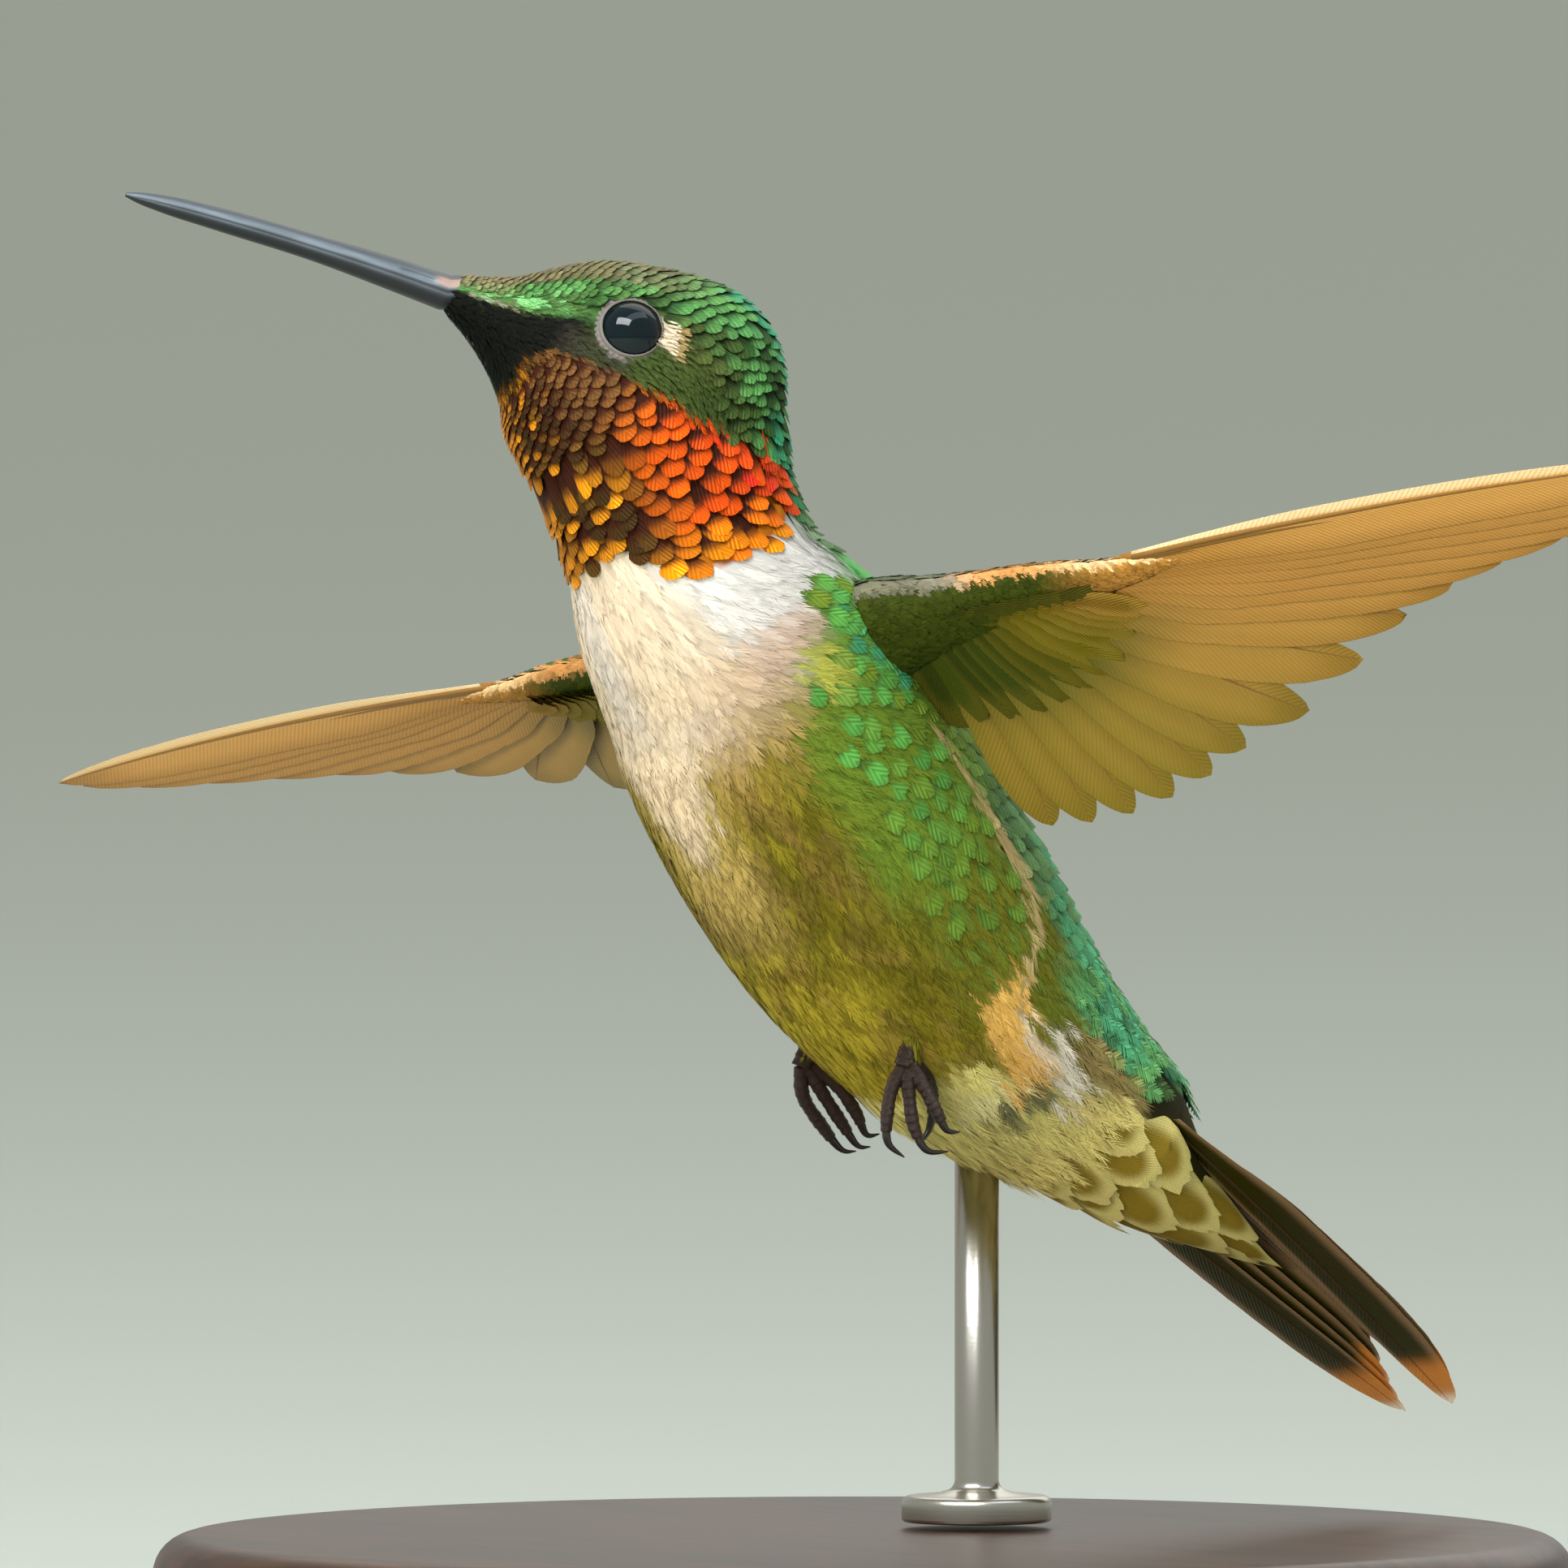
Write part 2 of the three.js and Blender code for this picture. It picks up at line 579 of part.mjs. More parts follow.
// A leg is given by points from the neck's foot: its tarsus, then each toe with its claw.
function makeLeg(tarsus, toes) {
  const at = (list) => list.map(([x, y, z]) => new THREE.Vector3(x, y, z).add(NECK_FOOT));
  const pieces = [limb(at(tarsus), [0.5, 0.46, 0.5], 7, 4)];
  for (const toe of toes) pieces.push(limb(at(toe), [0.36, 0.39, 0.37, 0.36, 0.27, 0.1], 6, 8));
  return largest(union(pieces).subtract(bodyAndGap));
}

addNode('leg_left', makeLeg(
  [[4.6, 7.4, -10.2], [4.7, 7.6, -11.6], [4.5, 7.4, -12.7]],
  [
    [[4.5, 7.4, -12.6], [4.2, 6.9, -13.8], [4.1, 6.7, -15.2], [4.0, 6.9, -16.2], [4.3, 7.7, -16.9]],
    [[4.6, 7.5, -12.6], [4.7, 7.5, -13.9], [4.8, 7.7, -15.4], [5.0, 8.3, -16.5], [5.3, 9.5, -16.6]],
    [[4.7, 7.6, -12.6], [5.2, 7.9, -13.6], [5.6, 8.4, -14.8], [5.7, 8.9, -15.6], [5.9, 9.6, -15.7]],
    [[4.5, 7.7, -12.6], [4.4, 8.8, -13.1], [4.4, 9.2, -14.4], [4.4, 9.0, -15.6], [4.4, 8.2, -16.4]],
  ],
), 0x4a4038, 0.6);
addNode('leg_right', makeLeg(
  [[-2.4, 8.6, -10.4], [-2.4, 7.9, -12.0], [-2.6, 7.6, -13.0]],
  [
    [[-2.7, 7.6, -13.0], [-2.9, 8.0, -14.4], [-2.9, 9.2, -15.8], [-2.8, 10.2, -16.8], [-2.6, 11.0, -16.9]],
    [[-2.5, 7.8, -12.9], [-2.3, 8.6, -14.2], [-2.3, 9.7, -15.5], [-2.3, 10.7, -16.6], [-2.2, 11.5, -16.7]],
    [[-2.4, 8.0, -12.8], [-1.7, 9.0, -13.9], [-1.6, 10.0, -15.1], [-1.8, 10.8, -16.1], [-1.7, 11.6, -16.1]],
    [[-2.5, 7.9, -12.9], [-2.1, 9.2, -13.1], [-1.9, 10.3, -13.3], [-1.9, 11.0, -13.5], [-1.9, 11.7, -14.0]],
  ],
), 0x4a4038, 0.6);

// ---- stand --------------------------------------------------------------------------------

const basePart = new THREE.LatheGeometry([
  [0, 0], [BASE_RADIUS - 0.8, 0], [BASE_RADIUS, 0.8], [BASE_RADIUS, BASE_HEIGHT - 1.8],
  [BASE_RADIUS - 0.55, BASE_HEIGHT - 0.55], [BASE_RADIUS - 1.8, BASE_HEIGHT], [0, BASE_HEIGHT],
].map(([r, z]) => new THREE.Vector2(r, z)), 56).rotateX(Math.PI / 2);
addNode('stand_base', solidOf(basePart), 0x2b1d14, 0.35);

const rodPart = new THREE.LatheGeometry([
  [0, BASE_HEIGHT + GAP], [FLANGE_RADIUS, BASE_HEIGHT + GAP], [FLANGE_RADIUS, BASE_HEIGHT + 1.1],
  [FLANGE_RADIUS - 0.4, BASE_HEIGHT + 1.5], [ROD_RADIUS + 0.5, BASE_HEIGHT + 1.7],
  [ROD_RADIUS, BASE_HEIGHT + 2.4], [ROD_RADIUS, ROD_REACH], [0, ROD_REACH],
].map(([r, z]) => new THREE.Vector2(r, z)), 24).rotateX(Math.PI / 2).translate(0, ROD_BACK, 0);
addNode('stand_rod', largest(solidOf(rodPart).subtract(bodyAndGap)), 0xb9b4a6, 0.3, 1);

export default bird;
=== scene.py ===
import math

import bpy
import numpy as np
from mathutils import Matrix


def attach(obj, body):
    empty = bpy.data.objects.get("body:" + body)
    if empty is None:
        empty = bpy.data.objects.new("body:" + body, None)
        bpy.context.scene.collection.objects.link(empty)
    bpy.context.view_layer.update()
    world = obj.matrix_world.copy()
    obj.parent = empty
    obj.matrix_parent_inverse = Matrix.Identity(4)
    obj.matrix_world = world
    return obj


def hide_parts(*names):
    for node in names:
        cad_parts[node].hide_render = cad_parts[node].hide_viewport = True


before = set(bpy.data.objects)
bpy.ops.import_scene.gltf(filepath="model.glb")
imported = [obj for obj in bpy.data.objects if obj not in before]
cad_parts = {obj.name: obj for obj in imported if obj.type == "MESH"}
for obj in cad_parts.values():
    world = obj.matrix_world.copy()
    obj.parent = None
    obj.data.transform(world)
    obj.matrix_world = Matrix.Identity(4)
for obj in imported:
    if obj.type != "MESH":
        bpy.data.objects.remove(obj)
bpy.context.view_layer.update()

# ---- Camera ----------------------------------------------------------------------------------
# A long lens stands off the bird's left front quarter, level with it and 2 degrees above. It is
# far enough away that near and far parts are drawn at nearly one scale.

view_azimuth = math.radians(48)
view_elevation = math.radians(2)
view_distance = 1.5
view_width = 0.07025                      # width of the frame at the bird
view_aim = np.array([0.0021, -0.0067, 0.0400])

view_right = np.array([math.cos(view_azimuth), math.sin(view_azimuth), 0.0])
view_forward = np.array([
    -math.sin(view_azimuth) * math.cos(view_elevation),
    math.cos(view_azimuth) * math.cos(view_elevation),
    -math.sin(view_elevation),
])
view_up = np.cross(view_right, view_forward)


def unit(vectors):
    """Vectors scaled to a length of 1."""
    return vectors / (np.linalg.norm(vectors, axis=-1, keepdims=True) + 1e-12)


def look_along(thing, place, forward):
    """Sets an object at a place, with its -Z axis along forward and its Y axis up."""
    right = unit(np.cross(forward, [0, 0, 1]))
    back = -unit(forward)
    matrix = np.eye(4)
    matrix[:3, :4] = np.stack([right, np.cross(back, right), back, place], axis=1)
    thing.matrix_world = matrix.T.tolist()


camera_data = bpy.data.cameras.new("camera")
camera_data.sensor_width = 36
camera_data.lens = camera_data.sensor_width * view_distance / view_width
camera = bpy.data.objects.new("camera", camera_data)
bpy.context.scene.collection.objects.link(camera)
look_along(camera, view_aim - view_forward * view_distance, view_forward)
bpy.context.scene.camera = camera
bpy.context.scene.view_settings.view_transform = "Standard"

# ---- Floor -----------------------------------------------------------------------------------
# A plain pale studio floor of painted board. It lies level under the stand, and is wide enough to
# run out of sight.


def linear(code):
    """An sRGB hex colour as linear red, green and blue."""
    srgb = np.array([int(code[i:i + 2], 16) for i in (1, 3, 5)]) / 255
    return np.where(srgb <= 0.04045, srgb / 12.92, ((srgb + 0.055) / 1.055) ** 2.4)


def add_node(material, kind, inputs=None, **settings):
    """Adds a shader node. Settings are its properties. Inputs give each socket a value or a link,
    which is a pair of a node and the name of its output."""
    made = material.node_tree.nodes.new(kind)
    for key, value in settings.items():
        setattr(made, key, value)
    for socket, value in (inputs or {}).items():
        if isinstance(value, tuple) and isinstance(value[0], bpy.types.Node):
            material.node_tree.links.new(value[0].outputs[value[1]], made.inputs[socket])
        else:
            made.inputs[socket].default_value = value
    return made


def new_material(name):
    """A node material with no nodes yet."""
    material = bpy.data.materials.new(name)
    material.use_nodes = True
    material.node_tree.nodes.clear()
    return material


def finish_material(material, inputs):
    """Ends a material with a Principled shader, given by its inputs, at its output."""
    shader = add_node(material, "ShaderNodeBsdfPrincipled", inputs)
    add_node(material, "ShaderNodeOutputMaterial", {"Surface": (shader, "BSDF")})


def rgba(code):
    """An sRGB hex colour as a shader's opaque linear colour."""
    return (*linear(code), 1.0)


def new_mesh(name, points, faces, material):
    """A smooth mesh object from points in millimetres and a list of face arrays, each of one face
    size."""
    points = np.asarray(points, float).reshape(-1, 3)
    mesh = bpy.data.meshes.new(name)
    mesh.vertices.add(len(points))
    mesh.vertices.foreach_set("co", (points * 0.001).ravel())
    sizes = np.concatenate([np.full(len(block), block.shape[1]) for block in faces])
    corners = np.concatenate([block.ravel() for block in faces]).astype(np.int32)
    mesh.loops.add(len(corners))
    mesh.loops.foreach_set("vertex_index", corners)
    mesh.polygons.add(len(sizes))
    starts = np.concatenate([[0], np.cumsum(sizes)[:-1]]).astype(np.int32)
    mesh.polygons.foreach_set("loop_start", starts)
    mesh.polygons.foreach_set("use_smooth", np.ones(len(sizes), bool))
    mesh.update(calc_edges=True)
    made = bpy.data.objects.new(name, mesh)
    bpy.context.scene.collection.objects.link(made)
    mesh.materials.append(material)
    return made


# Matt paint put on with a roller, which leaves a stipple about 1 mm across.
floor_paint = new_material("matt_floor_paint")
roller = add_node(floor_paint, "ShaderNodeTexNoise", {"Scale": 900.0, "Detail": 3.0})
floor_bump = add_node(floor_paint, "ShaderNodeBump", {
    "Strength": 0.1, "Distance": 0.0002, "Height": (roller, "Fac")})
finish_material(floor_paint, {
    "Base Color": rgba("#aab0a5"), "Roughness": 0.85, "Normal": (floor_bump, "Normal")})

floor_half = 30000.0
floor = new_mesh(
    "floor",
    [[-floor_half, -floor_half, 0], [floor_half, -floor_half, 0],
     [floor_half, floor_half, 0], [-floor_half, floor_half, 0]],
    [np.array([[0, 1, 2, 3]])], floor_paint)

# ---- Light -----------------------------------------------------------------------------------
# A soft box and a wide strip hang over the bird and show in its eye. A low box in front, its beam
# kept narrow to spare the floor, lights the underside. Far, wide lights fill the rest: one on the
# camera's right, a rear one for the wings' edges, and an even pale surround.


def add_light(name, kind, across, above, towards, power, colour, mirrored=True, **size):
    """A light given by its place in metres from the bird along the camera's own axes. One that
    isn't mirrored only fills, and shows in no glossy face."""
    data = bpy.data.lights.new(name, kind)
    data.energy = power
    data.color = linear(colour)
    for key, value in size.items():
        setattr(data, key, value)
    light = bpy.data.objects.new(name, data)
    bpy.context.scene.collection.objects.link(light)
    light.visible_glossy = mirrored
    offset = view_right * across + view_up * above - view_forward * towards
    look_along(light, view_aim + offset, -offset)


add_light("sky_box", "AREA", -0.2, 0.5, 0.36, 5.4, "#f8faff", shape="RECTANGLE", size=0.5, size_y=0.26)
add_light("sky_strip", "AREA", 0.25, 1.0, 0.3, 3.6, "#dbe8ff", shape="RECTANGLE", size=1.5, size_y=0.4)
add_light("fill_light", "SUN", 1.5, 0.4, 1.4, 0.6, "#fffaf2", False, angle=math.radians(120))
add_light("low_box", "AREA", -0.32, 0.04, 0.5, 0.58, "#fff6ea", False, shape="RECTANGLE",
          size=0.9, size_y=0.1, spread=math.radians(60))
add_light("rear_light", "SUN", 0.5, 1.5, -1.4, 0.8, "#fffdf6", angle=math.radians(60))

world = bpy.data.worlds.new("studio")
world.use_nodes = True
world.node_tree.nodes["Background"].inputs["Color"].default_value = rgba("#eef1ea")
world.node_tree.nodes["Background"].inputs["Strength"].default_value = 0.5
bpy.context.scene.world = world

# ---- Body skin -------------------------------------------------------------------------------
# The outline of the whole plumage is one surface from the root of the bill to the root of the
# tail, the same as the imported head, neck, torso and rump. The skin lies inside it by the depth
# of the coat, and carries the coat's own colours darkened as painted shade, so that no gap
# between feathers shows.

# forward, up, dorsal, ventral and side half sizes, share of the head's turn
stations = np.array([
    [11.3, 22.5, 0.85, 0.8, 0.95, 1],        # bill root
    [9.0, 21.4, 1.9, 2.1, 2.2, 1],           # lores
    [6.0, 19.5, 5.3, 4.4, 4.4, 1],           # eye
    [3.9, 17.0, 8.0, 5.0, 5.2, 1],           # crown
    [2.6, 14.0, 7.1, 4.9, 5.3, 1],           # nape
    [1.4, 11.0, 6.2, 5.1, 5.5, 0.8],         # throat
    [0.2, 8.2, 6.3, 5.8, 6.2, 0.45],         # collar
    [-2.4, 4.6, 7.3, 7.0, 7.0, 0.12],        # shoulder
    [-6.0, -0.3, 7.5, 7.8, 7.4, 0],          # breast
    [-10.3, -6.0, 7.4, 7.6, 7.2, 0],         # belly
    [-14.9, -11.0, 6.4, 6.3, 6.2, 0],        # thighs
    [-19.2, -14.2, 5.0, 4.9, 4.9, 0],        # vent
    [-22.8, -16.6, 4.0, 3.9, 4.2, 0],        # tail root
])
neck_foot = np.array([0.0, -9.0, 40.0])
head_turn = math.radians(32)
bank = math.radians(7)
knots = np.concatenate([[0], np.cumsum(np.hypot(*np.diff(stations[:, :2], axis=0).T))])
body_length = knots[-1]


def ease(x):
    """Smooth step from 0 at 0 to 1 at 1."""
    x = np.clip(x, 0, 1)
    return x * x * (3 - 2 * x)


def ramp(x, start, end):
    """Smooth step from 0 at start to 1 at end."""
    return ease((x - start) / (end - start))


def fall(x, start, end):
    """Smooth step from 1 at start to 0 at end."""
    return 1 - ramp(x, start, end)


def band(x, start, end, soft):
    """1 between start and end, falling to 0 over the distance soft on either side."""
    return ramp(x, start - soft, start) * fall(x, end, end + soft)


def mix(colour, other, share):
    """Colours with a share of another colour laid over them."""
    return colour + (other - colour) * np.asarray(share)[..., None]


def hermite(knots, rows, x):
    """Cubic curve through the rows at the knots. Each knot's slope is the mean of the slopes on
    either side, each weighted by the length of the other's span."""
    gaps = np.diff(knots)[:, None]
    slopes = np.diff(rows, axis=0) / gaps
    inner = (slopes[:-1] * gaps[1:] + slopes[1:] * gaps[:-1]) / (gaps[1:] + gaps[:-1])
    slopes = np.concatenate([slopes[:1], inner, slopes[-1:]])
    i = np.clip(np.searchsorted(knots, x, side="right") - 1, 0, len(knots) - 2)
    h = (knots[i + 1] - knots[i])[:, None]
    t = (x - knots[i])[:, None] / h
    return (rows[i] * (1 + 2 * t) * (1 - t) ** 2 + rows[i + 1] * t * t * (3 - 2 * t)
            + h * (slopes[i] * t * (1 - t) ** 2 + slopes[i + 1] * t * t * (t - 1)))


tail_pitch = math.radians(36.5)
tail_root = [[0, 4.0, 3.9, 4.2], [2.5, 2.8, 3.35, 3.2], [5, 1.6, 2.35, 2.4], [7.5, 0.8, 1.2, 1.7]]
coat_length = body_length + tail_root[-1][0]

# The spine runs on over the tail's root: distance down the tail, dorsal, ventral and side sizes.
spine = np.linspace(0, body_length, 2001)
spine_rows = hermite(knots, stations, spine)
tail_rows = np.array(tail_root)
beyond = np.linspace(0, tail_rows[-1, 0], 301)[1:]
beyond_rows = np.stack([
    stations[-1, 0] - beyond * math.cos(tail_pitch), stations[-1, 1] - beyond * math.sin(tail_pitch),
    *hermite(tail_rows[:, 0], tail_rows[:, 1:], beyond).T, 0 * beyond], axis=1)
spine = np.concatenate([spine, body_length + beyond])
spine_rows = np.concatenate([spine_rows, beyond_rows])
spine_way = unit(np.gradient(spine_rows[:, :2], spine, axis=0))


def place(left, back, up, share):
    """A point of the bird's own level, unturned frame, turned with the head by a share of the
    head's turn, banked, and set over the stand."""
    turn, roll = -head_turn * share, -bank * (1 - 0.5 * share)
    x = left * np.cos(turn) - back * np.sin(turn)
    y = left * np.sin(turn) + back * np.cos(turn)
    return np.stack([
        x * np.cos(roll) + up * np.sin(roll), y, up * np.cos(roll) - x * np.sin(roll),
    ], axis=-1) + neck_foot


def body_point(along, turn, grow=0.0):
    """A point of the plumage's outline: along is the distance down the spine, turn the angle round
    it from the back over the left side. The section is two half ellipses of one width. Grow
    moves the point out."""
    along, turn, grow = np.broadcast_arrays(along, turn, grow)
    forward, up, dorsal, ventral, side, share = (
        np.interp(along, spine, column) for column in spine_rows.T)
    way_forward, way_up = (np.interp(along, spine, column) for column in spine_way.T)
    reach = (np.where(np.cos(turn) > 0, dorsal, ventral) + grow) * np.cos(turn)
    return place((side + grow) * np.sin(turn), -forward - way_up * reach,
                 up - way_forward * reach, np.clip(share, 0, 1))


def grid_faces(rows, columns, closed=False):
    """Quads of a grid of points, row by row. A closed grid joins its last column to its first."""
    i = np.arange(rows - 1)[:, None]
    j = np.arange(columns if closed else columns - 1)[None, :]
    k = (j + 1) % columns
    corners = [i * columns + j, i * columns + k, (i + 1) * columns + k, (i + 1) * columns + j]
    return np.stack(np.broadcast_arrays(*corners), axis=-1).reshape(-1, 4)


def poled_faces(rows, columns):
    """Faces of a closed grid of points, with a fan of triangles at either end about a pole. The two
    poles follow the grid's points."""
    ring = np.arange(columns)
    last = (rows - 1) * columns + ring
    pole = np.full_like(ring, rows * columns)
    return [grid_faces(rows, columns, closed=True),
            np.stack([np.roll(ring, -1), ring, pole], axis=1),
            np.stack([last, np.roll(last, -1), pole + 1], axis=1)]


def mottle(x, y, seed):
    """Smooth random values from 0 to 1, one for each unit cell of a plane, eased between cells."""
    cells = (61, 53)                          # the cells repeat past this many
    table = np.random.default_rng(seed).random(cells)
    column, row = np.floor(x).astype(int), np.floor(y).astype(int)
    across, down = ease(x - column), ease(y - row)
    near, far = column % cells[0], (column + 1) % cells[0]
    low, high = row % cells[1], (row + 1) % cells[1]
    return ((table[near, low] * (1 - across) + table[far, low] * across) * (1 - down)
            + (table[near, high] * (1 - across) + table[far, high] * across) * down)


# Edge of the throat patch: its upper edge as an angle at each distance along the spine, and its
# lower edge as a distance along the spine at each angle.
throat_top = [[3.6, 128], [5.0, 100], [7.5, 88], [9, 84], [11, 74], [12.5, 60], [14, 42], [15, 29],
              [17.2, 29]]
throat_foot = [[33, 15.6], [42, 16.2], [55, 17.0], [92, 17.2], [102, 17.0], [116, 16.7], [122, 16.0],
               [132, 15.1], [140, 14.7], [150, 15.3], [180, 15.3]]
# A pale line on the flank, as an angle at each distance along the spine.
flank_line = [[26, 73], [34, 74], [36, 75], [37, 77], [38, 81], [39, 88], [40, 98], [41, 109]]


def table_value(table, x):
    """The second column of a table at x of its first, on straight lines between its rows."""
    return np.interp(x, *np.array(table, float).T)


def side_of(turn):
    """Degrees from the back, from 0 to 180, of an angle round the body."""
    return np.degrees(np.abs((turn + np.pi) % (2 * np.pi) - np.pi))


def throat_share(along, side):
    """1 on the scaled throat patch and 0 off it. Side is in degrees from the back."""
    top, foot = table_value(throat_top, along), table_value(throat_foot, side)
    return ramp(side, top - 2, top + 2) * fall(along, foot - 0.15, foot + 0.15) * ramp(along, 4, 5)


def spot_share(along, side):
    """1 on the pale spot behind the eye and 0 off it."""
    return band(along - 0.06 * (side - 62), 7.95, 8.45, 0.15) * band(side, 55, 67, 1.2)


def palette(**codes):
    """Linear colours by name, from their sRGB hex codes."""
    return {name: linear(code) for name, code in codes.items()}


plumage_colours = palette(
    bronze="#7e7250", emerald="#55904a", bright_emerald="#84cc7c", teal="#2f9c6e", dark_green="#27481a",
    moss="#495624", black="#0b0e08", loral_grey="#343026", spot_cream="#e4d2b2", gape="#94867c",
    throat_dark="#2c1c04", gold="#d8880c", dull_gold="#60420a", dull_rose="#6c4824", orange="#ec6204",
    orange_red="#f8500c", crimson="#ee3022", rim_gold="#fc9408", white="#d0cdc6", peach="#dcc298",
    cream="#d0c4b2", mauve="#c0a793", buff="#b39a64", brown="#8f7838", umber="#75602a",
    belly_edge="#b8a05a", olive="#736c1a", dark_olive="#5c560f", olive_yellow="#918222",
    belly_yellow="#b3a232", flank_green="#6a8428", flank_emerald="#5aa248", lime="#b9b850",
    shoulder_green="#5fae5a", back_green="#5f8650", back_dark="#33502a", back_teal="#489e6e",
    wing_line="#c6b078", rump_green="#6cae66", rump_teal="#5cb480", thigh_orange="#f6c266",
    fluff_white="#f8f0de", fluff_pale="#f2eaa8", fluff_cream="#ece28c", fluff_grey="#5c6048",
    under_cream="#f8e890", under_olive="#a2882a", tail_dark="#2c2910")


def plumage(along, turn):
    """Colour of the plumage and its gloss from 0 to 1, at a distance along the spine and an angle
    round it. Washes of colour are laid over each other from the body's ground colour up."""
    side = side_of(turn)
    other = np.where(np.sin(turn) < 0, 29.0, 0.0)        # the right side is mottled differently
    coarse = mottle(along * 0.55 + other, side * 0.06, 1)
    middle = mottle(along * 1.1 + other, side * 0.12, 2)
    fine = mottle(along * 2.3 + other, side * 0.25, 3)
    glint = mottle(along * 1.7 + other, side * 0.17, 7)
    spots = mottle(along * 1.25 + side * 0.03 + other, side * 0.14, 4)
    colour = np.empty(np.shape(along) + (3,))
    gloss = np.zeros(np.shape(along))
    c = plumage_colours

    def wash(name, cover, shine=0.0):
        """Lays a colour and its gloss over part of the plumage."""
        cover = np.clip(cover, 0, 1)
        colour[...] = mix(colour, c[name], cover)
        gloss[...] = gloss + (shine - gloss) * cover

    # Body: olive ground, yellower and browner below, green flank and back.
    colour[...] = c["olive"]
    wash("olive_yellow", ramp(side, 125, 150) * (0.4 + 0.6 * ramp(coarse, 0.3, 0.7)))
    wash("belly_yellow", ramp(side, 142, 162) * ramp(along, 30.5, 34) * 0.85)
    wash("brown", ramp(middle, 0.55, 0.8) * ramp(side, 112, 130) * 0.5)
    wash("umber", band(along, 26.5, 33, 2.5) * ramp(side, 116, 132) * ramp(middle, 0.3, 0.6) * 0.8)
    wash("dark_olive", ramp(spots, 0.5, 0.75) * 0.6)
    wash("flank_green", band(side, 80, 118, 12) * (1 - 0.6 * ramp(along, 32, 37))
         * (0.45 + 0.55 * ramp(coarse, 0.3, 0.6)), 0.2)
    wash("flank_emerald", band(side, 84, 112, 8) * band(along, 22, 29, 2)
         * ramp(spots, 0.5, 0.7) * 0.6, 0.35)
    wash("flank_emerald", band(side, 78, 112, 12) * band(along, 32, 40, 2)
         * ramp(fine, 0.6, 0.8) * 0.3, 0.3)
    wash("back_green", fall(side, 68, 78), 0.5)
    wash("back_dark", fall(side, 64, 76) * ramp(fine, 0.5, 0.7) * 0.7, 0.5)
    wash("back_teal", fall(side, 66, 76) * band(along, 37, 44, 2) * ramp(middle, 0.5, 0.65) * 0.7, 0.6)
    wash("wing_line", band(side - table_value(flank_line, along), -1.8, 1.8, 2)
         * band(along, 27, 40.5, 1) * 0.85)
    # Breast and collar.
    wash("brown", ramp(side, 110, 134) * fall(along, 24.8, 27.5) * (0.5 + 0.5 * ramp(middle, 0.3, 0.6)))
    wash("buff", ramp(side, 104, 128) * fall(along + 2 * coarse, 22.6, 26.4) * (0.45 + 0.55 * middle))
    wash("belly_edge", ramp(side, 152, 170) * fall(along, 29, 34) * 0.9)
    wash("mauve", ramp(side, 78, 90) * fall(along + 1.5 * coarse, 21.4, 24.4))
    edge = side - 4 * (np.maximum(along, 21) - 21)
    wash("cream", ramp(edge, 144, 160) * fall(along, 26, 29))
    wash("peach", ramp(edge, 146, 160) * band(along, 22, 26.5, 2) * 0.7)
    grass = ramp(along - 0.1 * (np.maximum(side, 100) - 100), 21, 22.6) * fall(side, 122, 136)
    wash("flank_green", grass * fall(along, 30, 34) * (0.7 + 0.3 * coarse), 0.2)
    leaf = fall(side - 8 * (np.clip(along, 21, 26.5) - 21), 72, 84) * ramp(along, 19.2, 20.4)
    wash("flank_green", leaf * fall(along, 26, 29), 0.3)
    wash("shoulder_green", leaf * fall(side, 84, 100) * fall(along, 24, 27)
         * ramp(spots, 0.3, 0.6), 0.5)
    wash("back_teal", band(along, 21.5, 24.5, 1) * band(side, 66, 78, 5) * ramp(fine, 0.4, 0.6) * 0.8, 0.6)
    wash("lime", band(along, 22.4, 23.4, 0.6) * band(side, 97, 107, 5) * 0.85, 0.3)
    wash("white", fall(along, 19.4, 21.1) * ramp(side, 34, 52))
    wash("cream", ramp(side, 118, 150) * fall(along, 20, 24) * 0.8)
    wash("peach", band(side, 130, 163, 12) * band(along, 15.5, 20.5, 2) * 0.5)
    # Thighs, vent and rump.
    tuft = side - 3.3 * (along - 40.3)
    wash("fluff_cream", ramp(along + 1.6 * ramp(side, 126, 142), 42.4, 43.8) * ramp(side, 112, 126))
    wash("buff", ramp(along, 43.5, 45.5) * band(side, 90, 104, 5) * (0.5 + 0.4 * middle))
    wash("fluff_white", band(along, 43.4, 47.0, 0.6) * band(side - 3.6 * (along - 43), 99, 111, 3.5))
    wash("peach", band(along, 47.0, 48.4, 0.5) * band(side - 3.6 * (along - 43), 98, 112, 3))
    wash("fluff_pale", band(along, 43.1, 43.9, 0.3) * band(side, 120, 156, 6))
    wash("fluff_grey", band(along, 44.3, 45.0, 0.35) * band(side, 120, 146, 6) * 0.9)
    wash("thigh_orange", band(along, 39.7, 43.9, 0.7) * band(tuft, 103, 121, 4) * (0.7 + 0.3 * fine))
    wash("fluff_white", band(along, 41.6, 43.4, 0.6) * band(tuft, 103, 108, 3) * 0.6)
    wash("rump_green", ramp(along, 40.5, 43) * fall(side, 84, 94), 0.5)
    wash("rump_teal", ramp(along, 40, 43) * fall(side, 82, 90) * ramp(middle, 0.45, 0.65), 0.5)
    wash("back_dark", ramp(along, 41, 43) * fall(side, 84, 92) * ramp(fine, 0.6, 0.8) * 0.6, 0.5)
    wash("under_cream", ramp(along, 46, 48) * ramp(side, 98, 108))
    wash("tail_dark", ramp(along, 50.4, 51) * band(side, 62, 96, 6))
